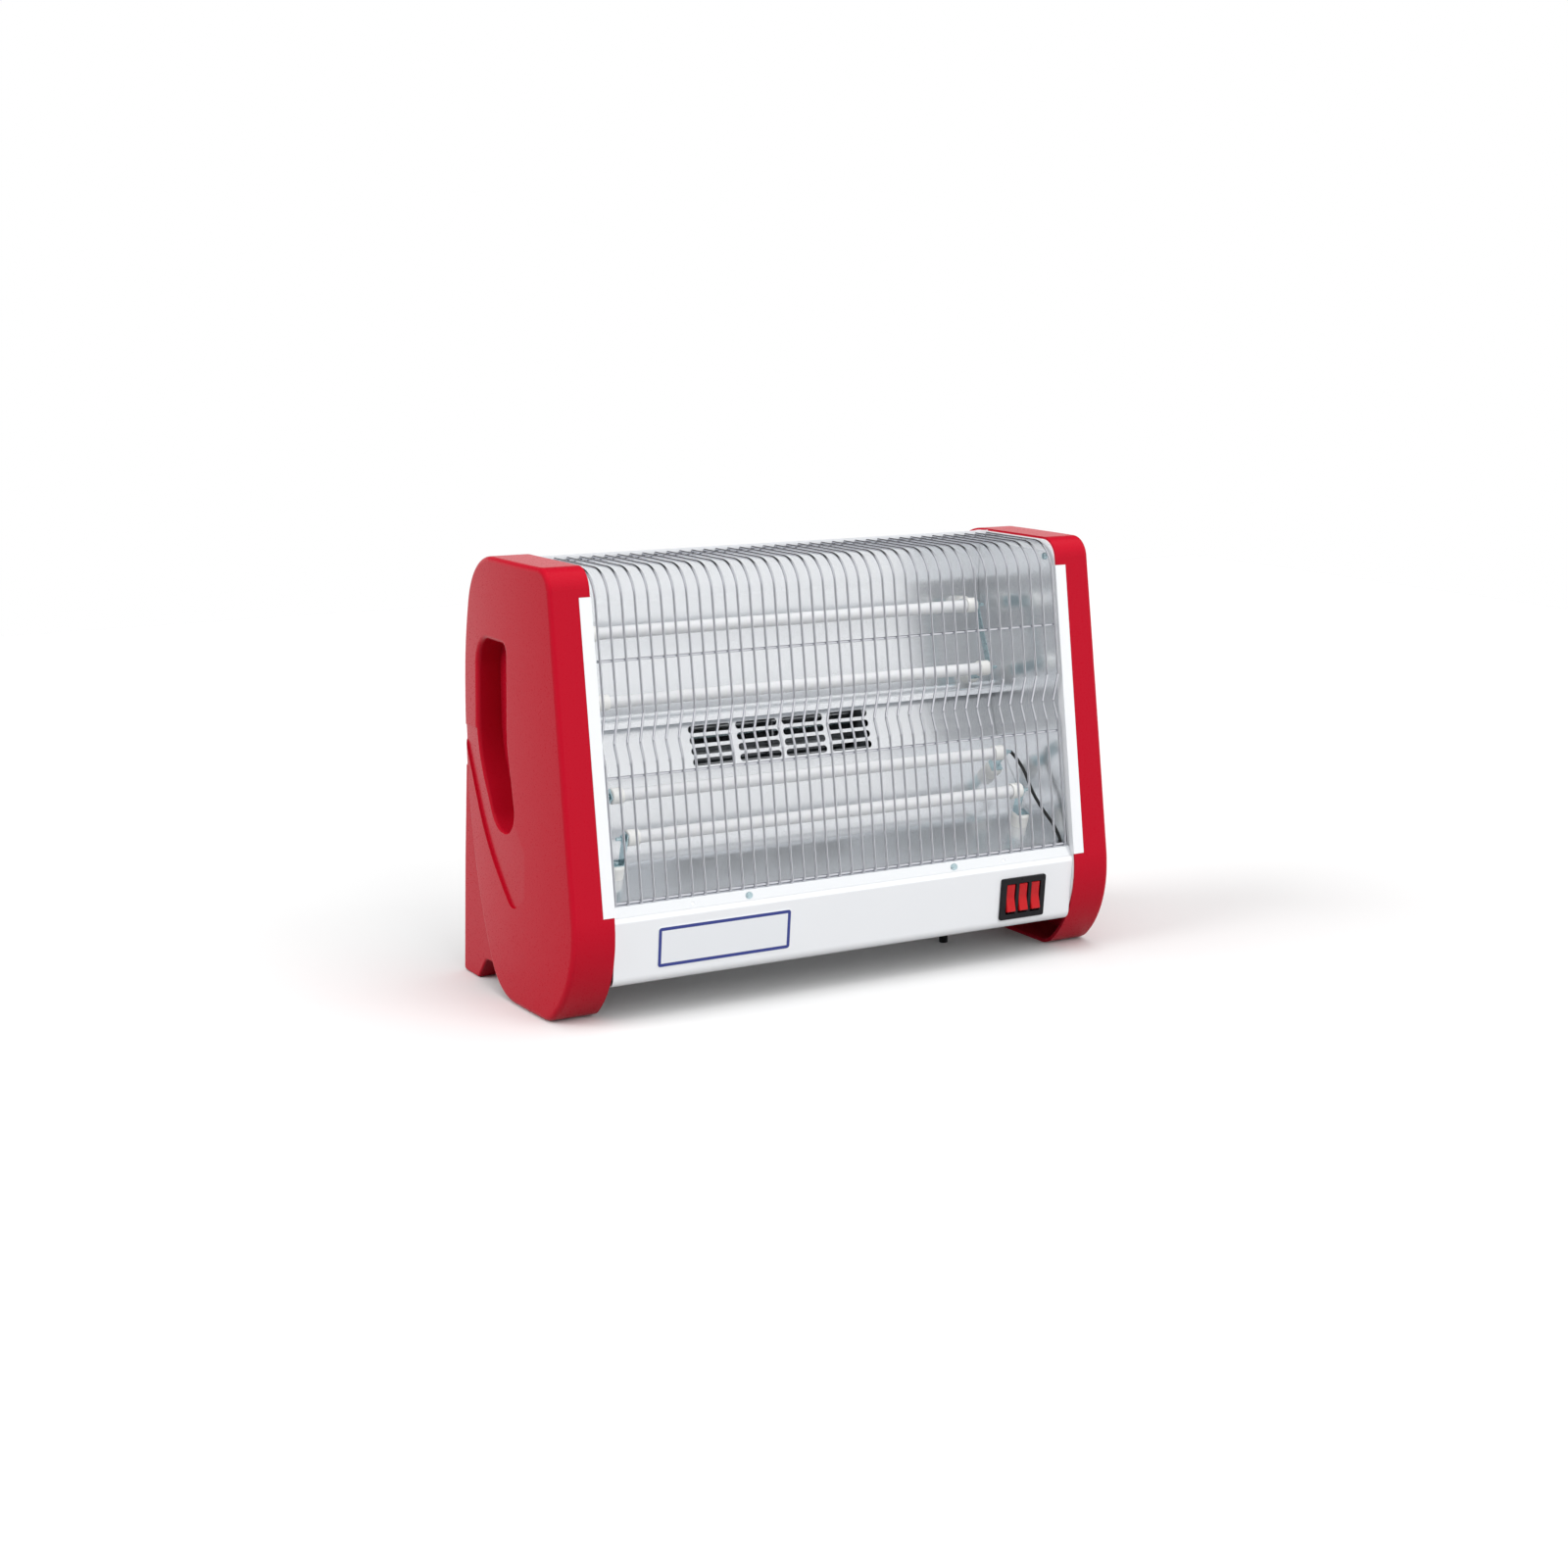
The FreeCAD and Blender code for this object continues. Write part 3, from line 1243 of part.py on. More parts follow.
def make_switch():
    here = panel_spot(switch_x, switch_height)
    bezel = front_prism("bezel", rounded(0, 0, bezel_width, bezel_height, 2), -bezel_sheet, 0)
    soft = rounded_edges("bezel_soft", bezel, 0.8, lambda box: box.YMax < -float(bezel_sheet) + 0.1)
    housing = block("housing", (-housing_half, -bezel_sheet / 2, -well_tall - housing_wall),
                    (housing_half, housing_depth, well_tall + housing_wall))
    pitch = float(rocker_pitch)
    well = block("well", (-well_half, -SPARE, -well_tall),
                 (well_half, housing_depth - housing_wall, well_tall))
    wells = copies("wells", well, [Placement(Vector(column * pitch, 0, 0), Rotation()) for column in ROCKERS])
    pin_hole = rod("pin_hole", "x", (-housing_half, rocker_axis, 0), 2 * housing_half,
                   rocker_pin_radius + bore_gap)
    frame = cut("switch_blank", fuse("switch_outer", soft, housing), wells, pin_hole)
    keep("switch_frame", copies("switch_frame", frame, [here]))
    pin = rod("pin_bar", "x", (-housing_half, rocker_axis, 0), 2 * housing_half, rocker_pin_radius)
    keep("rocker_pin", copies("rocker_pin", pin, [here]))
    tab = block("tab", (-0.4, housing_depth, -3.1), (0.4, housing_depth + 8, 3.1))
    tab_places = []
    for column in ROCKERS:
        for level in (-8, 8):
            tab_places.append(here.multiply(Placement(Vector(column * pitch, 0, level), Rotation())))
    keep("switch_terminals", copies("switch_terminals", tab, tab_places))
    pattern = make_rocker()
    for number, column in enumerate(ROCKERS, 1):
        pivot = Vector(column * pitch, float(rocker_axis), 0)
        tip = Placement(pivot, Rotation(ACROSS, -float(rocker_tilt)))
        name = "rocker_%d" % number
        keep(name, copies(name, pattern, [here.multiply(tip)]))


def make_rocker():
    """A rocker about its own axis: Y inward, Z along its length."""
    half = rocker_half
    corners = [
        (-0.95 * rocker_axis * 2, half - 1.4, 1),
        (-5.4, 0, 14),
        (-0.95 * rocker_axis * 2, 1.4 - half, 1),
        (-1, -half, 2),
        (6, 2 - half, 1),
        (6, half - 2, 1),
        (-1, half, 2),
    ]
    prism_blank = side_prism("rocker_prism", corners, -rocker_width / 2, rocker_width / 2)
    blank = rounded_edges("rocker_blank", prism_blank, rocker_edge, lambda box: box.XLength < 0.1)
    bore =rod("rocker_bore", "x", (-rocker_width, 0, 0), 2 * rocker_width, rocker_pin_radius + bore_gap)
    return cut("rocker", blank, bore)


def make_label_plate():
    blank = front_prism("label_blank", rounded(0, 0, label_width, label_tall, 3), -label_sheet, 0)
    keep("label_plate", copies("label_plate", blank, [panel_spot(label_x, label_height)]))


# The cross-flow fan behind the air slots
BLADE_PITCH = 28


def make_fan():
    discs = []
    for number, x in enumerate((-fan_half, -disc_sheet / 2, fan_half - disc_sheet), 1):
        discs.append(rod("fan_disc_%d" % number, "x", (x, 0, 0), disc_sheet, fan_radius))
    blade = block("blade", (-fan_half, -blade_chord / 2, -blade_sheet / 2),
                  (fan_half, blade_chord / 2, blade_sheet / 2))
    count = int(float(blade_count))
    ring = float(fan_radius - blade_chord / 2 - 0.5)
    places = []
    for number in range(count):
        turn = Rotation(ACROSS, 360 * number / count)
        pitch = turn.multiply(Rotation(ACROSS, BLADE_PITCH))
        places.append(Placement(turn.multVec(Vector(0, ring, 0)), pitch))
    blades = copies("blades", blade, places)
    bore = rod("fan_bore", "x", (-outer_x, 0, 0), overall_width, shaft_radius + bore_gap)
    rotor = cut("fan_rotor_blank", fuse("fan_wheel", blades, *discs), bore)
    axis = Placement(Vector(0, float(fan_y), float(fan_z)), Rotation())
    keep("fan_rotor", copies("fan_rotor", rotor, [axis]))
    shaft_start = -plate_end - bearing_length
    shaft_end = motor_plate + fan_sheet + bearing_length
    shaft_length = shaft_end - shaft_start
    keep("fan_shaft", rod("fan_shaft", "x", (shaft_start, fan_y, fan_z), shaft_length, shaft_radius))


def make_fan_housing():
    behind = 2 * fit_gap
    low = slot_face_bottom + 2
    high = slot_face_top - 6
    top = fan_z + fan_radius + 12
    bottom = fan_z - fan_radius - 14
    back = fan_y + fan_radius + 12
    corners = [
        (slot_face(low) + behind, low),
        (slot_face(high) + behind, high),
        (fan_y - 18, top, 6),
        (fan_y + 12, top, 10),
        (back, fan_z + 10, 10),
        (back, fan_z - 22, 12),
        (fan_y + 16, bottom, 10),
        (fan_y - 24, bottom, 8),
    ]
    plates = [
        side_prism("fan_left_plate", corners, -plate_end, -plate_start),
        side_prism("fan_right_plate", corners, plate_start, plate_end),
    ]
    half = plate_start + fan_sheet / 2
    over = [
        (slot_face(high) + behind + 1, high),
        (fan_y - 14, top - 4, 12),
        (fan_y + 10, top - 5),
    ]
    under = [
        (slot_face(low) + behind + 1, low),
        (fan_y - 22, bottom + 4, 14),
        (fan_y + 10, bottom + 4, 30),
        (back - 4, fan_z - 14, 16),
        (back - 3, fan_z + 2),
    ]
    upper_guide = bent_sheet("fan_upper_guide", over, cover_sheet, half)
    lower_guide = bent_sheet("fan_lower_guide", under, -cover_sheet, half)
    blank = fuse("fan_housing_blank", *plates, upper_guide, lower_guide)
    left_hole = rod("fan_left_hole", "x", (-outer_x, fan_y, fan_z), outer_x, bearing_radius + bore_gap)
    right_hole = rod("fan_right_hole", "x", (0, fan_y, fan_z), outer_x, bearing_radius + 1)
    keep("fan_housing", cut("fan_housing", blank, left_hole, right_hole))
    make_bearing("left_bearing", -plate_end - 1, -plate_start + 1)
    make_bearing("right_bearing", motor_plate - 1, motor_plate + fan_sheet + 2)


def make_bearing(name, start, end):
    body = rod(name + "_body", "x", (start, fan_y, fan_z), end - start, bearing_radius)
    bore = rod(name + "_bore", "x", (start - 1, fan_y, fan_z), end - start + 2, shaft_radius + bore_gap)
    keep(name, cut(name, body, bore))


def make_motor():
    leg = 8
    window = 20
    low = fan_z - motor_radius - 5 - window - leg
    core = block("stator_core", (stator_start, fan_y - stator_half, low),
                 (stator_end, fan_y + stator_half, fan_z + motor_radius + 8))
    bore = rod("stator_bore", "x", (stator_start - 1, fan_y, fan_z), stator_length + 2,
               motor_radius + air_gap)
    gap = block("stator_window", (stator_start - 1, fan_y - stator_half / 2, low + leg),
                (stator_end + 1, fan_y + stator_half / 2, low + leg + window))
    posts = []
    post_holes = []
    for number, side in enumerate((-1, 1), 1):
        y = fan_y + side * (stator_half - 5)
        post_length = motor_plate - plate_end + fan_sheet / 2
        posts.append(rod("motor_post_%d" % number, "x", (plate_end, y, fan_z), post_length, post_radius))
        post_holes.append(rod("post_hole_%d" % number, "x", (stator_start - 1, y, fan_z), stator_length + 2,
                              post_radius + bore_gap))
    keep("motor_stator", cut("motor_stator", core, bore, gap, *post_holes))
    wrap = 4
    half = stator_half / 2 - fit_gap
    winding = block("coil_body", (stator_start - wrap, fan_y - half, low - wrap),
                    (stator_end + wrap, fan_y + half, low + leg + wrap))
    hollow = block("coil_hollow", (stator_start - fit_gap, fan_y - stator_half, low - fit_gap),
                   (stator_end + fit_gap, fan_y + stator_half, low + leg + fit_gap))
    keep("motor_coil", cut("motor_coil", winding, hollow))
    rotor = rod("motor_rotor_body", "x", (stator_start - 1, fan_y, fan_z), stator_length + 2, motor_radius)
    rotor_bore = rod("motor_rotor_bore", "x", (stator_start - 2, fan_y, fan_z), stator_length + 4,
                     shaft_radius + bore_gap)
    keep("motor_rotor", cut("motor_rotor", rotor, rotor_bore))
    plate = block("motor_plate", (motor_plate, fan_y - stator_half, fan_z - 9),
                  (motor_plate + fan_sheet, fan_y + stator_half, fan_z + 9))
    seat = rod("motor_plate_hole", "x", (motor_plate - 1, fan_y, fan_z), 4, bearing_radius + bore_gap)
    keep("motor_bracket", cut("motor_bracket", fuse("motor_bracket_blank", plate, *posts), seat))


# The tip-over switch, terminal block and thermal cut-out
def make_tip_switch():
    half = tip_width / 2
    collar = plunger_radius + 1.5
    ledge = pan_top + 3
    body = block("tip_block", (tip_x - half, tip_y - half, pan_top),
                 (tip_x + half, tip_y + half, pan_top + tip_body_height))
    bore = rod("tip_bore", "z", (tip_x, tip_y, pan_top - 1), tip_body_height - 5, plunger_radius + bore_gap)
    chamber = rod("tip_chamber", "z", (tip_x, tip_y, ledge), tip_body_height - 6, collar + fit_gap)
    keep("tip_switch_body", cut("tip_switch_body", body, bore, chamber))
    stem = rod("plunger_stem", "z", (tip_x, tip_y, 0), ledge + plunger_travel + 8, plunger_radius)
    stop = rod("plunger_stop", "z", (tip_x, tip_y, ledge + plunger_travel + fit_gap), 3, collar)
    foot = rod("plunger_pad", "z", (tip_x, tip_y, 0), plunger_foot, plunger_radius + plunger_pad)
    pad = rounded_edges("plunger_soft", foot, plunger_pad / 2,
                        lambda box: box.ZMin > float(plunger_foot) - 0.1)
    keep("tip_plunger", fuse("tip_plunger", stem, stop, pad))


def make_terminal_block():
    low = (tip_x - 72, -20, pan_top)
    body = block("terminal_body", low, (low[0] + 42, -4, pan_top + 14))
    holes = [rod("terminal_hole_%d" % number, "y", (low[0] + 7 + 14 * number, -21, pan_top + 7), 18, 2)
             for number in range(3)]
    keep("terminal_block", cut("terminal_block", body, *holes))


def make_cutout(seat):
    disc = rod("cutout_disc", "z", (0, 0, 0), 6, 8)
    tabs = [block("cutout_tab_%d" % number, (x - 2, -0.4, 5.5), (x + 2, 0.4, 14))
            for number, x in enumerate((-4, 4), 1)]
    back = -reflector_sheet - fit_gap
    point = [seat.foot[axis] + seat.normal[axis] * back for axis in (0, 1)]
    here = spot((60, point[0], point[1]), seat.outward() * -1)
    keep("thermal_cutout", copies("thermal_cutout", fuse("cutout", disc, *tabs), [here]))


# The screws that hold the shell together
def make_screws():
    cheek = []
    for hand in HANDS:
        for point, face in CHEEK_SCREWS:
            cheek.append(spot((hand * face, point[0], point[1]), Vector(-hand, 0, 0)))
    keep("cheek_screws", copies("cheek_screws", screw("cheek_screw", CHEEK_SCREW_LENGTH), cheek))
    keep("panel_screws", copies("panel_screws", screw("panel_screw", LIP_SCREW_LENGTH), lip_spots()[0]))
    keep("base_screws", copies("base_screws", screw("base_screw", LIP_SCREW_LENGTH), base_spots()))
    keep("cover_screws", copies("cover_screws", screw("cover_screw", LIP_SCREW_LENGTH), cover_spots()))


def check():
    """Stop if an object failed or a piece has no sound shape."""
    doc.recompute()
    for item in doc.Objects:
        if "Invalid" in item.State or "Error" in item.State:
            raise RuntimeError("%s failed: %s" % (item.Label, item.State))
    for item in kept:
        if item.Shape.isNull() or not item.Shape.isValid() or not item.Shape.Solids:
            raise RuntimeError("%s has no sound shape" % item.Label)


def write():
    """Write each piece to its own file."""
    os.makedirs("parts", exist_ok=True)
    for item in kept:
        item.Shape.exportStep("parts/%s.step" % item.Label)


doc.recompute()
make_cheeks()
make_side_frames()
make_side_reflectors()
make_front_panel()
make_base_pan()
make_rear_cover()
make_grommet()
make_reflectors()
make_guard()
tube_places = tube_seats()
make_tubes(tube_places)
make_tube_ends(tube_places)
make_brackets(tube_places)
make_knobs(tube_places)
make_strap(tube_places)
make_lead()
make_switch()
make_label_plate()
make_fan()
make_fan_housing()
make_motor()
make_tip_switch()
make_terminal_block()
make_cutout(tube_places[0])
make_screws()
check()
write()
print("%d pieces" % len(kept))
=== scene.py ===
import json
import math

import bpy
from mathutils import Matrix, Vector


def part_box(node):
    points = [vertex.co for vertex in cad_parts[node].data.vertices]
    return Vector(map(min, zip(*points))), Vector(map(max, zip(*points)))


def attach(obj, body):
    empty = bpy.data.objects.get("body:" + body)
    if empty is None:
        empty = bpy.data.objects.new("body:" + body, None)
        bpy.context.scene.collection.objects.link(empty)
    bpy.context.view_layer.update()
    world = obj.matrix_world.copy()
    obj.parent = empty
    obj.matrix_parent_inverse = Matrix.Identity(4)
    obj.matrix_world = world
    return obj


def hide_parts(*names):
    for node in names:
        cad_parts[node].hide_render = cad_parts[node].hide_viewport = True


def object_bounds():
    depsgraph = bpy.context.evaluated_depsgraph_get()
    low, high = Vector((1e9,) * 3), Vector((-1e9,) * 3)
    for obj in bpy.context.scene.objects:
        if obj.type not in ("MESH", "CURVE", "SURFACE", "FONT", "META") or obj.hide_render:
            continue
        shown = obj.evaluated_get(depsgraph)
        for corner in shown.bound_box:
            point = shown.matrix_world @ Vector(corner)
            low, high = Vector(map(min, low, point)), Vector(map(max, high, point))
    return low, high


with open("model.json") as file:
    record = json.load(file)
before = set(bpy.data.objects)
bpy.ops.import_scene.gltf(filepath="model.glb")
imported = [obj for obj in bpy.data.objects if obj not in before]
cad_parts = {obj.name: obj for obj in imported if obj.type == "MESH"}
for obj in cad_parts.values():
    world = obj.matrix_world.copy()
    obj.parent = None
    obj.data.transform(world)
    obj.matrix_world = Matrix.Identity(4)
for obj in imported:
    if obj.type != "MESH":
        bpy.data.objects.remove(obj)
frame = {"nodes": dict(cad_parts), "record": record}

CAD_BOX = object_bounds()
NODES = frame["nodes"]
SUBPARTS = frame["record"]["subparts"]
HEATER = "heater"

bl_info = {
    "name": "Tube fan heater",
    "version": (1, 0, 0),
    "blender": (4, 5, 0),
    "location": "3D View > Sidebar > Heater",
    "description": "Finishes, wound coils, welds and studio of a tube fan heater",
    "category": "Object",
}


def colour(name, description, default):
    """A colour that the sidebar shows."""
    return bpy.props.FloatVectorProperty(name=name, description=description, default=default, size=3,
                                         min=0.0, max=1.0, subtype="COLOR")


def length(name, description, default):
    """A length in metres that the sidebar shows."""
    return bpy.props.FloatProperty(name=name, description=description, default=default, min=0.0,
                                   unit="LENGTH")


def level(name, description, default):
    """A light's level that the sidebar shows."""
    return bpy.props.FloatProperty(name=name, description=description, default=default, min=0.0)


class HeaterFinishes(bpy.types.PropertyGroup):
    """Colours of the heater's finishes."""

    cheek_red: colour("Cheek red", "Satin red of the moulded cheeks", (0.48, 0.005, 0.020))
    panel_white: colour("Panel white", "Paint of the sheet panels", (0.86, 0.875, 0.90))
    sheet_grey: colour("Sheet grey", "Bright rolled sheet of the reflectors", (0.90, 0.92, 0.945))
    wire_grey: colour("Wire grey", "Plating of the guard", (0.58, 0.59, 0.63))
    tube_milk: colour("Tube milk", "Milky heating tubes", (0.84, 0.85, 0.87))
    ceramic_white: colour("Ceramic white", "End caps and standoff knobs", (0.84, 0.84, 0.82))
    zinc_grey: colour("Zinc grey", "Plated brackets, studs and screws", (0.52, 0.66, 0.70))
    switch_black: colour("Switch black", "Black moulded plastic", (0.010, 0.010, 0.012))
    rocker_red: colour("Rocker red", "Clear red plastic of the rockers", (0.52, 0.006, 0.010))
    rubber_black: colour("Rubber black", "Sleeve of the lead and the grommet", (0.014, 0.014, 0.015))
    label_white: colour("Label white", "Blank label plate", (0.82, 0.84, 0.87))
    label_blue: colour("Label blue", "Line round the label plate", (0.020, 0.035, 0.22))
    fan_grey: colour("Fan grey", "Plain sheet of the fan", (0.52, 0.54, 0.56))
    iron_grey: colour("Iron grey", "Laminated iron of the motor", (0.10, 0.10, 0.11))
    copper: colour("Copper", "Motor winding", (0.52, 0.17, 0.06))
    bronze: colour("Bronze", "Bearing bushes", (0.42, 0.27, 0.10))
    coil_grey: colour("Coil grey", "Heating wire", (0.20, 0.19, 0.18))


class HeaterSizes(bpy.types.PropertyGroup):
    """Sizes of the coils, the welds, the label's line and the lead."""

    coil_pitch: length("Coil pitch", "Distance between turns of heating wire", 0.0028)
    coil_wire: length("Coil wire", "Radius of the heating wire", 0.00045)
    guard_pitch: length("Guard pitch", "Distance between guard wires", 0.012)
    weld_radius: length("Weld radius", "Radius of a weld on the guard", 0.0010)
    label_line: length("Label line", "Width of the line round the label plate", 0.0029)
    label_margin: length("Label margin", "Distance of that line from the plate's edge", 0.0004)
    label_corner: length("Label corner", "Radius of the label plate's corners", 0.003)
    lead_radius: length("Lead radius", "Radius of the black lead", 0.0015)


class StudioSettings(bpy.types.PropertyGroup):
    """Floor, lamps and sky."""

    floor_half: length("Floor half size", "Half the side of the floor", 2.5)
    floor_pale: level("Floor", "How pale the floor shows", 0.80)
    floor_bounce: level("Floor bounce", "How much light the floor throws back at the heater", 0.30)
    top_level: level("Top lamp", "Broad lamp overhead", 1.6)
    left_level: level("Left lamp", "Broad lamp at the left", 1.8)
    front_level: level("Front lamp", "Broad lamp in front", 1.7)
    sky: level("Sky", "Even light from all round", 0.38)
    rear_dim: level("Rear", "What polished metal sees of the room high behind it", 0.08)
    front_dim: level("Front", "What polished metal sees of the room beyond the camera", 0.18)


def finishes():
    """The heater's colours."""
    return bpy.context.scene.heater_finishes


def sizes():
    """The heater's sizes that the scene adds."""
    return bpy.context.scene.heater_sizes


def studio():
    """The floor, lamps and sky."""
    return bpy.context.scene.heater_studio


def connect(tree, value, socket):
    """Link another node's socket, or set a plain value."""
    if isinstance(value, bpy.types.NodeSocket):
        tree.links.new(value, socket)
    else:
        socket.default_value = value


def add_node(tree, kind, **inputs):
    """Add a node; an input is a value or another node's socket."""
    item = tree.nodes.new(kind)
    for name, value in inputs.items():
        connect(tree, value, item.inputs[name.replace("_", " ")])
    return item


def arithmetic(tree, operation, first, second=0.0):
    """One step of arithmetic on numbers or sockets."""
    item = tree.nodes.new("ShaderNodeMath")
    item.operation = operation
    connect(tree, first, item.inputs[0])
    connect(tree, second, item.inputs[1])
    return item.outputs[0]


# A noise seldom leaves these values
NOISE_LOW = 0.3
NOISE_HIGH = 0.7


class Finish:
    """A material whose node tree is built step by step on Object coordinates."""

    def __init__(self, name, base, roughness, metallic=0.0):
        self.material = bpy.data.materials.new(name)
        self.material.use_nodes = True
        self.tree = self.material.node_tree
        self.shader = self.tree.nodes["Principled BSDF"]
        self.place = self.node("ShaderNodeTexCoord").outputs["Object"]
        self.set("Base Color", (*base, 1.0)).set("Roughness", roughness).set("Metallic", metallic)

    def set(self, socket, value):
        """Give the shader a constant or another node's socket."""
        connect(self.tree, value, self.shader.inputs[socket])
        return self

    def node(self, kind, **inputs):
        """Add a node to the material."""
        return add_node(self.tree, kind, **inputs)

    def math(self, operation, first, second=0.0):
        """One step of arithmetic in the material."""
        return arithmetic(self.tree, operation, first, second)

    def noise(self, scale, detail=2.0):
        """Noise whose scale is in grains per metre, one number or one for each axis."""
        stretch = scale if isinstance(scale, tuple) else (scale, scale, scale)
        mapping = self.node("ShaderNodeMapping", Vector=self.place, Scale=stretch)
        texture = self.node("ShaderNodeTexNoise", Vector=mapping.outputs["Vector"], Scale=1.0, Detail=detail)
        return texture.outputs["Fac"]

    def rough_between(self, noise, low, high):
        """Let the roughness follow a noise."""
        spread = self.node("ShaderNodeMapRange", Value=noise, From_Min=NOISE_LOW, From_Max=NOISE_HIGH,
                           To_Min=low, To_Max=high)
        return self.set("Roughness", spread.outputs["Result"])

    def bump(self, noise, strength, distance):
        """Let the surface follow a noise."""
        item = self.node("ShaderNodeBump", Height=noise, Strength=strength, Distance=distance)
        return self.set("Normal", item.outputs["Normal"])

    def two_colours(self, share, first, second):
        """Let the colour go from the first to the second with a share."""
        mix = self.node("ShaderNodeMix")
        mix.data_type = "RGBA"
        connect(self.tree, share, mix.inputs["Factor"])
        ends = [socket for socket in mix.inputs if socket.type == "RGBA"]
        for socket, value in zip(ends, (first, second)):
            socket.default_value = (*value, 1.0)
        result = [socket for socket in mix.outputs if socket.type == "RGBA"][0]
        return self.set("Base Color", result)


def paint(slot, finish):
    """Give every CAD node of a record slot its finish."""
    for entry in SUBPARTS:
        if entry["material_slot"] == slot:
            NODES[entry["node"]].material_slots[0].material = finish.material


def cheek_finish():
    """Satin plastic with a fine moulded grain."""
    finish = Finish("cheek_plastic", finishes().cheek_red, roughness=0.28).set("Specular IOR Level", 0.09)
    grain = finish.noise(700.0)
    return finish.rough_between(grain, low=0.27, high=0.29).bump(grain, strength=0.04, distance=0.0004)


def panel_finish():
    """Stove paint with a slight orange peel."""
    finish = Finish("panel_paint", finishes().panel_white, roughness=0.30)
    peel = finish.noise(260.0)
    return finish.rough_between(peel, low=0.29, high=0.31).bump(peel, strength=0.03, distance=0.0004)


def sheet_finish():
    """Bright rolled sheet: faint rolling lines along its length and slight waves."""
    finish = Finish("bright_sheet", finishes().sheet_grey, roughness=0.2, metallic=0.85)
    lines = finish.noise((2.0, 420.0, 420.0))
    waves = finish.noise((2.0, 9.0, 9.0), detail=0.0)
    return finish.rough_between(lines, low=0.19, high=0.24).bump(waves, strength=0.08, distance=0.004)


def wire_finish():
    """Drawn and plated wire."""
    finish = Finish("bright_wire", finishes().wire_grey, roughness=0.10, metallic=1.0)
    return finish.rough_between(finish.noise(150.0), low=0.07, high=0.13)


def tube_finish():
    """Milky quartz that hides its coil."""
    finish = Finish("milky_tube", finishes().tube_milk, roughness=0.24)
    finish.rough_between(finish.noise(90.0), low=0.21, high=0.27)
    return finish.set("Transmission Weight", 0.12).set("IOR", 1.45)


def ceramic_finish():
    """Fired ceramic with a dry fine grain."""
    finish = Finish("white_ceramic", finishes().ceramic_white, roughness=0.42)
    return finish.bump(finish.noise(900.0), strength=0.05, distance=0.0003)


def zinc_finish():
    """Blue zinc plate with an uneven gloss."""
    finish = Finish("zinc_plate", finishes().zinc_grey, roughness=0.28, metallic=1.0)
    return finish.rough_between(finish.noise(160.0), low=0.20, high=0.38)


def plain_finish(name, base, roughness, metallic=0.0):
    """A finish with an even colour, an uneven gloss and a fine grain."""
    finish = Finish(name, base, roughness, metallic)
    finish.rough_between(finish.noise(120.0), low=0.8 * roughness, high=1.2 * roughness)
    return finish.bump(finish.noise(900.0), strength=0.04, distance=0.0003)


def label_finish():
    """A pale plate with a line inside its rounded edge."""
    low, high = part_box("label_plate")
    corner = sizes().label_corner
    finish = Finish("label_film", finishes().label_white, roughness=0.35)
    axes = finish.node("ShaderNodeSeparateXYZ", Vector=finish.place)
    beyond = []
    for axis in (0, 2):
        middle = (low[axis] + high[axis]) / 2
        half = (high[axis] - low[axis]) / 2
        away = finish.math("ABSOLUTE", finish.math("SUBTRACT", axes.outputs[axis], middle))
        beyond.append(finish.math("SUBTRACT", away, half - corner))
    squares = []
    for reach in beyond:
        outer = finish.math("MAXIMUM", reach, 0.0)
        squares.append(finish.math("MULTIPLY", outer, outer))
    round_part = finish.math("SQRT", finish.math("ADD", squares[0], squares[1]))
    flat_part = finish.math("MINIMUM", finish.math("MAXIMUM", beyond[0], beyond[1]), 0.0)
    depth = finish.math("SUBTRACT", corner, finish.math("ADD", round_part, flat_part))
    margin = sizes().label_margin
    inside = finish.math("GREATER_THAN", depth, margin)
    outside = finish.math("LESS_THAN", depth, margin + sizes().label_line)
    line = finish.math("MULTIPLY", inside, outside)
    return finish.two_colours(line, finishes().label_white, finishes().label_blue)


class Tree:
    """A Geometry Nodes tree with numbers and a material as named inputs."""

    def __init__(self, name, *numbers):
        self.group = bpy.data.node_groups.new(name, "GeometryNodeTree")
        interface = self.group.interface
        interface.new_socket("Geometry", in_out="INPUT", socket_type="NodeSocketGeometry")
        kinds = {**dict.fromkeys(numbers, "NodeSocketFloat"), "Material": "NodeSocketMaterial"}
        self.identifiers = {}
        for label, kind in kinds.items():
            socket = interface.new_socket(label, in_out="INPUT", socket_type=kind)
            self.identifiers[label] = socket.identifier
        interface.new_socket("Geometry", in_out="OUTPUT", socket_type="NodeSocketGeometry")
        self.entry = self.node("NodeGroupInput")

    def node(self, kind, **inputs):
        """Add a node to the tree."""
        return add_node(self.group, kind, **inputs)

    def given(self, label):
        """The socket of a named input."""
        return self.entry.outputs[label]

    def close(self, shape):
        """Put a shape on every given point and end in real geometry with its material."""
        placed = self.node("GeometryNodeInstanceOnPoints", Points=self.given("Geometry"), Instance=shape)
        real = self.node("GeometryNodeRealizeInstances", Geometry=placed.outputs["Instances"])
        dressed = self.node("GeometryNodeSetMaterial", Geometry=real.outputs["Geometry"],
                            Material=self.given("Material"))
        self.node("NodeGroupOutput", Geometry=dressed.outputs["Geometry"])
        return self


# How finely a coil is wound: points in a turn and sides of the wire
TURN_POINTS = 14
WIRE_SIDES = 6


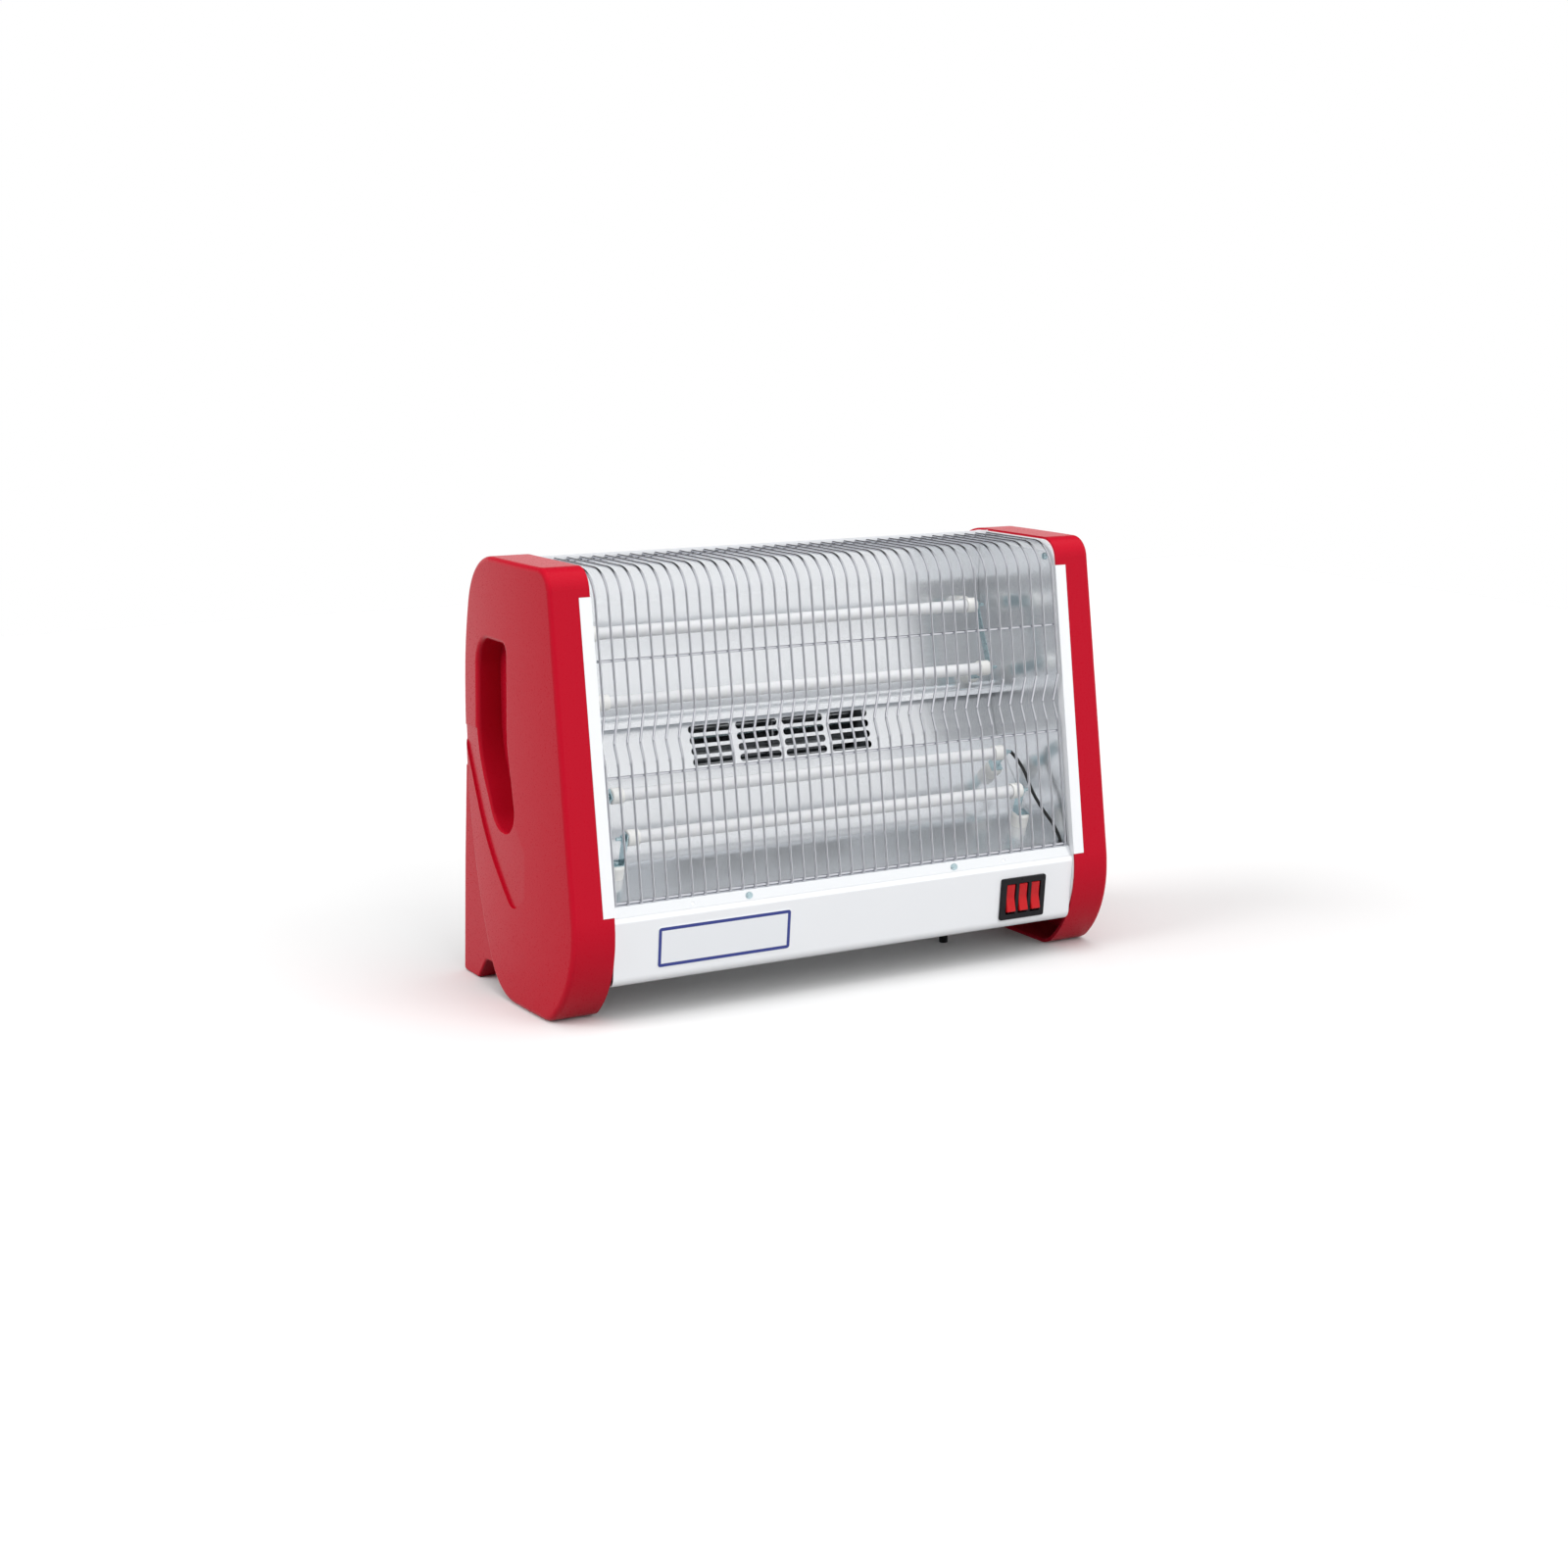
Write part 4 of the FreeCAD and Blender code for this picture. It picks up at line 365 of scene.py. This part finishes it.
def coil_tree():
    """A helix of wire on every point of the mesh, running along X."""
    tree = Tree("wound_coil", "Turns", "Radius", "Wire", "Length")
    helix = tree.node("GeometryNodeCurveSpiral", Resolution=TURN_POINTS, Rotations=tree.given("Turns"),
                      Start_Radius=tree.given("Radius"), End_Radius=tree.given("Radius"),
                      Height=tree.given("Length"))
    laid = tree.node("GeometryNodeTransform", Geometry=helix.outputs["Curve"],
                     Rotation=(0.0, math.pi / 2, 0.0))
    section = tree.node("GeometryNodeCurvePrimitiveCircle", Resolution=WIRE_SIDES, Radius=tree.given("Wire"))
    wire = tree.node("GeometryNodeCurveToMesh", Curve=laid.outputs["Geometry"],
                     Profile_Curve=section.outputs["Curve"], Fill_Caps=True)
    return tree.close(wire.outputs["Mesh"])


# A weld is longer along its rod than across it
WELD_STRETCH = 1.5


def weld_tree():
    """A small long bead on every point of the mesh."""
    tree = Tree("guard_weld", "Radius")
    ball = tree.node("GeometryNodeMeshIcoSphere", Radius=tree.given("Radius"), Subdivisions=2)
    bead = tree.node("GeometryNodeTransform", Geometry=ball.outputs["Mesh"], Scale=(WELD_STRETCH, 1.0, 1.0))
    return tree.close(bead.outputs["Geometry"])


def add_object(name, data):
    """Put new data into the scene as an object."""
    item = bpy.data.objects.new(name, data)
    bpy.context.scene.collection.objects.link(item)
    return item


def smooth_mesh(item):
    """The smooth mesh that an object's modifiers or curve settings give."""
    bpy.context.view_layer.update()
    evaluated = item.evaluated_get(bpy.context.evaluated_depsgraph_get())
    mesh = bpy.data.meshes.new_from_object(evaluated)
    if not mesh.polygons:
        raise RuntimeError(item.name + " came out empty")
    for polygon in mesh.polygons:
        polygon.use_smooth = True
    return mesh


def grow(name, points, tree, **values):
    """Run a tree on points and keep the result as a plain mesh at the origin."""
    mesh = bpy.data.meshes.new(name)
    mesh.from_pydata(points, [], [])
    item = add_object(name, mesh)
    modifier = item.modifiers.new(name, "NODES")
    modifier.node_group = tree.group
    for label, value in values.items():
        modifier[tree.identifiers[label]] = value
    item.update_tag()
    result = smooth_mesh(item)
    item.modifiers.clear()
    item.data = result
    return item


class HEATER_OT_cheeks(bpy.types.Operator):
    """Finish the moulded cheeks"""

    bl_idname = "heater.cheeks"
    bl_label = "Cheeks"

    def execute(self, context):
        paint("red_plastic", cheek_finish())
        return {"FINISHED"}


class HEATER_OT_panels(bpy.types.Operator):
    """Finish the painted sheet: panel, side frames, base and rear cover"""

    bl_idname = "heater.panels"
    bl_label = "Painted panels"

    def execute(self, context):
        paint("white_paint", panel_finish())
        return {"FINISHED"}


class HEATER_OT_reflectors(bpy.types.Operator):
    """Finish the bright reflectors"""

    bl_idname = "heater.reflectors"
    bl_label = "Reflectors"

    def execute(self, context):
        paint("bright_sheet", sheet_finish())
        return {"FINISHED"}


# Points of the guard rods that are nearer than this, seen along X, belong to one rod
ROD_REACH = 0.006


def rod_centres():
    """Middle (y, z) of each round rod of the guard."""
    rods = []
    for vertex in NODES["guard_rods"].data.vertices:
        point = Vector((vertex.co.y, vertex.co.z))
        for rod in rods:
            if (rod[0] - point).length < ROD_REACH:
                rod.append(point)
                break
        else:
            rods.append([point])
    centres = []
    for rod in rods:
        across = [point.x for point in rod]
        upright = [point.y for point in rod]
        centres.append(Vector(((min(across) + max(across)) / 2, (min(upright) + max(upright)) / 2)))
    return centres


def weld_points():
    """Where the guard's wires touch its rods, found on the middle wire and repeated on the others."""
    low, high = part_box("guard_wires")
    pitch = sizes().guard_pitch
    side = int((high.x - low.x) / pitch) // 2
    middle = [vertex.co for vertex in NODES["guard_wires"].data.vertices if abs(vertex.co.x) < pitch / 3]
    points = []
    for centre in rod_centres():
        nearest = min(middle, key=lambda co: (Vector((co.y, co.z)) - centre).length)
        for number in range(-side, side + 1):
            points.append((number * pitch, nearest.y, nearest.z))
    return points


class HEATER_OT_guard(bpy.types.Operator):
    """Finish the wire guard and weld its crossings"""

    bl_idname = "heater.guard"
    bl_label = "Guard"

    def execute(self, context):
        finish = wire_finish()
        paint("bright_wire", finish)
        welds = grow("guard_welds", weld_points(), weld_tree(), Radius=sizes().weld_radius,
                     Material=finish.material)
        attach(welds, HEATER)
        return {"FINISHED"}


COILS = ("upper_top_coil", "upper_bottom_coil", "lower_back_coil", "lower_front_coil")


class HEATER_OT_coils(bpy.types.Operator):
    """Wind the heating coils inside the tubes"""

    bl_idname = "heater.coils"
    bl_label = "Heating coils"

    def execute(self, context):
        finish = plain_finish("heating_wire", finishes().coil_grey, roughness=0.45, metallic=1.0)
        boxes = [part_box(node) for node in COILS]
        low, high = boxes[0]
        wire = sizes().coil_wire
        run = high.x - low.x
        points = [(first.x, (first.y + last.y) / 2, (first.z + last.z) / 2) for first, last in boxes]
        coils = grow("heating_coils", points, coil_tree(), Turns=run / sizes().coil_pitch,
                     Radius=(high.z - low.z) / 2 - wire, Wire=wire, Length=run, Material=finish.material)
        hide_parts(*COILS)
        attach(coils, HEATER)
        return {"FINISHED"}


class HEATER_OT_tubes(bpy.types.Operator):
    """Finish the milky tubes, their ceramic ends and the standoff knobs"""

    bl_idname = "heater.tubes"
    bl_label = "Tubes and ceramics"

    def execute(self, context):
        paint("milky_tube", tube_finish())
        paint("ceramic", ceramic_finish())
        return {"FINISHED"}


class HEATER_OT_fixings(bpy.types.Operator):
    """Finish the plated brackets, studs and screws"""

    bl_idname = "heater.fixings"
    bl_label = "Brackets and screws"

    def execute(self, context):
        paint("zinc", zinc_finish())
        return {"FINISHED"}


# Route of the black lead: from the rear lower tube, past the front one, to the switch
LEAD_ROUTE = (
    (0.211, -0.042, 0.179),
    (0.219, -0.050, 0.168),
    (0.217, -0.072, 0.140),
    (0.228, -0.0995, 0.110),
    (0.227, -0.1025, 0.087),
    (0.213, -0.090, 0.068),
    (0.1923, -0.086, 0.067),
)


def lead_line():
    """The lead's route as a round, closed-ended curve."""
    line = bpy.data.curves.new("lead_line", "CURVE")
    line.dimensions = "3D"
    line.resolution_u = 10
    line.bevel_depth = sizes().lead_radius
    line.bevel_resolution = 3
    line.use_fill_caps = True
    spline = line.splines.new("NURBS")
    spline.points.add(len(LEAD_ROUTE) - 1)
    for point, place in zip(spline.points, LEAD_ROUTE):
        point.co = (*place, 1.0)
    spline.order_u = 3
    spline.use_endpoint_u = True
    return line


class HEATER_OT_lead(bpy.types.Operator):
    """Lay the black lead and finish the grommet"""

    bl_idname = "heater.lead"
    bl_label = "Lead and grommet"

    def execute(self, context):
        finish = plain_finish("black_rubber", finishes().rubber_black, roughness=0.5)
        paint("black_rubber", finish)
        sketch = add_object("lead_line", lead_line())
        mesh = smooth_mesh(sketch)
        bpy.data.objects.remove(sketch)
        mesh.materials.clear()
        mesh.materials.append(finish.material)
        lead = add_object("black_lead", mesh)
        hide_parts("supply_lead")
        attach(lead, HEATER)
        return {"FINISHED"}


class HEATER_OT_switch(bpy.types.Operator):
    """Finish the switch frame, its rockers and the label plate"""

    bl_idname = "heater.switch"
    bl_label = "Switch and label plate"

    def execute(self, context):
        black = plain_finish("black_plastic", finishes().switch_black, roughness=0.32)
        paint("black_plastic", black.set("Specular IOR Level", 0.15))
        rocker = plain_finish("rocker_plastic", finishes().rocker_red, roughness=0.16)
        paint("red_rocker", rocker.set("Specular IOR Level", 0.25))
        paint("label_film", label_finish())
        return {"FINISHED"}


class HEATER_OT_fan(bpy.types.Operator):
    """Finish the fan and its motor"""

    bl_idname = "heater.fan"
    bl_label = "Fan and motor"

    def execute(self, context):
        paint("fan_metal", plain_finish("fan_sheet", finishes().fan_grey, roughness=0.35, metallic=1.0))
        paint("motor_iron", plain_finish("motor_iron", finishes().iron_grey, roughness=0.5, metallic=0.6))
        paint("copper", plain_finish("motor_winding", finishes().copper, roughness=0.3, metallic=0.9))
        paint("bronze", plain_finish("bearing_bronze", finishes().bronze, roughness=0.4, metallic=1.0))
        return {"FINISHED"}


# Camera of the photograph: focal length and picture centre in pixels of a 1600 by 1600 picture
PICTURE = 1600.0
FOCAL = 2536.5
CENTRE = (806.5, 774.5)
YAW = math.radians(-30.06)
PITCH = math.radians(10.82)
DISTANCE = 2.2314
AIM = Vector((0.0, 0.0, 0.185))
SENSOR = 36.0


def add_camera():
    """A camera that sees the heater as the photograph does."""
    back = Vector((math.sin(YAW) * math.cos(PITCH), -math.cos(YAW) * math.cos(PITCH), math.sin(PITCH)))
    right = Vector((math.cos(YAW), math.sin(YAW), 0.0))
    up = back.cross(right)
    data = bpy.data.cameras.new("camera")
    data.sensor_width = SENSOR
    data.lens = FOCAL / PICTURE * SENSOR
    data.shift_x = (PICTURE / 2 - CENTRE[0]) / PICTURE
    data.shift_y = (CENTRE[1] - PICTURE / 2) / PICTURE
    data.clip_end = 50.0
    camera = add_object("camera", data)
    turn = Matrix((right, up, back)).transposed().to_4x4()
    camera.matrix_world = Matrix.Translation(AIM + back * DISTANCE) @ turn
    bpy.context.scene.camera = camera


def add_lamp(name, direction, spread, strength):
    """A broad far lamp that shines from a direction, kept out of reflections."""
    data = bpy.data.lights.new(name, "SUN")
    data.angle = math.radians(spread)
    data.energy = strength
    lamp = add_object(name, data)
    lamp.rotation_euler = Vector(direction).to_track_quat("Z", "Y").to_euler()
    lamp.visible_glossy = False


def direct_rays(tree, path):
    """One for rays that show what they meet: from the camera, a reflection or clear glass."""
    mirrored = arithmetic(tree, "MAXIMUM", path.outputs["Is Camera Ray"], path.outputs["Is Glossy Ray"])
    return arithmetic(tree, "MAXIMUM", mirrored, path.outputs["Is Transmission Ray"])


def fade(tree, value, ends, last):
    """One below the first end, going smoothly to a last level at the second."""
    item = add_node(tree, "ShaderNodeMapRange", Value=value, From_Min=ends[0], From_Max=ends[1],
                    To_Min=1.0, To_Max=last)
    item.interpolation_type = "SMOOTHSTEP"
    return item.outputs["Result"]


# Where the room begins to dim and where it is dimmest: upwards, to the rear and towards the camera
HIGH_FADE = (0.14, 0.36)
REAR_FADE = (0.1, 0.4)
FRONT_FADE = (0.82, 0.95)


def add_sky():
    """Even light that the camera sees as white and polished metal as a room with two dim sides."""
    world = bpy.data.worlds.new("studio")
    world.use_nodes = True
    tree = world.node_tree
    heading = add_node(tree, "ShaderNodeTexCoord").outputs["Generated"]
    axes = add_node(tree, "ShaderNodeSeparateXYZ", Vector=heading)
    high = fade(tree, axes.outputs["Z"], HIGH_FADE, studio().rear_dim)
    behind = fade(tree, axes.outputs["Y"], REAR_FADE, studio().rear_dim)
    rear = arithmetic(tree, "MAXIMUM", high, behind)
    towards = tree.nodes.new("ShaderNodeVectorMath")
    towards.operation = "DOT_PRODUCT"
    connect(tree, heading, towards.inputs[0])
    connect(tree, (math.sin(YAW), -math.cos(YAW), 0.0), towards.inputs[1])
    front = fade(tree, towards.outputs["Value"], FRONT_FADE, studio().front_dim)
    room = arithmetic(tree, "MULTIPLY", rear, front)
    path = add_node(tree, "ShaderNodeLightPath")
    lit = add_node(tree, "ShaderNodeMapRange", Value=direct_rays(tree, path), To_Min=studio().sky,
                   To_Max=room)
    white = arithmetic(tree, "MAXIMUM", lit.outputs["Result"], path.outputs["Is Camera Ray"])
    background = tree.nodes["Background"]
    connect(tree, (1.0, 1.0, 1.0, 1.0), background.inputs["Color"])
    connect(tree, white, background.inputs["Strength"])
    bpy.context.scene.world = world


def floor_material():
    """Pale matt floor that takes the shadow and throws back less light than it shows."""
    material = bpy.data.materials.new("floor")
    material.use_nodes = True
    tree = material.node_tree
    tree.nodes.clear()
    path = add_node(tree, "ShaderNodeLightPath")
    pale = add_node(tree, "ShaderNodeMapRange", Value=direct_rays(tree, path), To_Min=studio().floor_bounce,
                    To_Max=studio().floor_pale)
    matt = add_node(tree, "ShaderNodeBsdfDiffuse", Color=pale.outputs["Result"])
    add_node(tree, "ShaderNodeOutputMaterial", Surface=matt.outputs["BSDF"])
    return material


# The floor lies this far below the feet
FLOOR_GAP = 0.0002


def add_floor():
    """The plain floor that the heater stands on."""
    half = studio().floor_half
    height = CAD_BOX[0][2] - FLOOR_GAP
    mesh = bpy.data.meshes.new("floor")
    corners = [(-half, -half, height), (half, -half, height), (half, half, height), (-half, half, height)]
    mesh.from_pydata(corners, [], [(0, 1, 2, 3)])
    floor = add_object("floor", mesh)
    mesh.materials.append(floor_material())


class HEATER_OT_stage(bpy.types.Operator):
    """Set up the floor, the sky, the lamps and the camera"""

    bl_idname = "heater.stage"
    bl_label = "Stage"

    def execute(self, context):
        context.scene.view_settings.view_transform = "Standard"
        add_floor()
        add_sky()
        add_lamp("top_lamp", direction=(0.1, -0.25, 1.0), spread=60.0, strength=studio().top_level)
        add_lamp("left_lamp", direction=(-0.9, 0.1, 0.55), spread=45.0, strength=studio().left_level)
        add_lamp("front_lamp", direction=(0.3, -0.95, 0.4), spread=60.0, strength=studio().front_level)
        add_camera()
        return {"FINISHED"}


OPERATORS = (
    HEATER_OT_cheeks,
    HEATER_OT_panels,
    HEATER_OT_reflectors,
    HEATER_OT_guard,
    HEATER_OT_coils,
    HEATER_OT_tubes,
    HEATER_OT_fixings,
    HEATER_OT_lead,
    HEATER_OT_switch,
    HEATER_OT_fan,
    HEATER_OT_stage,
)


class HEATER_PT_sidebar(bpy.types.Panel):
    """Lists the steps that dress the heater"""

    bl_label = "Heater"
    bl_idname = "HEATER_PT_sidebar"
    bl_space_type = "VIEW_3D"
    bl_region_type = "UI"
    bl_category = "Heater"

    def draw(self, context):
        for operator in OPERATORS:
            self.layout.operator(operator.bl_idname)


GROUPS = {"heater_finishes": HeaterFinishes, "heater_sizes": HeaterSizes, "heater_studio": StudioSettings}
CLASSES = (*GROUPS.values(), *OPERATORS, HEATER_PT_sidebar)


def register():
    for item in CLASSES:
        bpy.utils.register_class(item)
    for name, group in GROUPS.items():
        setattr(bpy.types.Scene, name, bpy.props.PointerProperty(type=group))


def unregister():
    for name in GROUPS:
        delattr(bpy.types.Scene, name)
    for item in reversed(CLASSES):
        bpy.utils.unregister_class(item)


def main():
    register()
    for operator in OPERATORS:
        area, name = operator.bl_idname.split(".")
        getattr(getattr(bpy.ops, area), name)()


if __name__ == "__main__":
    main()
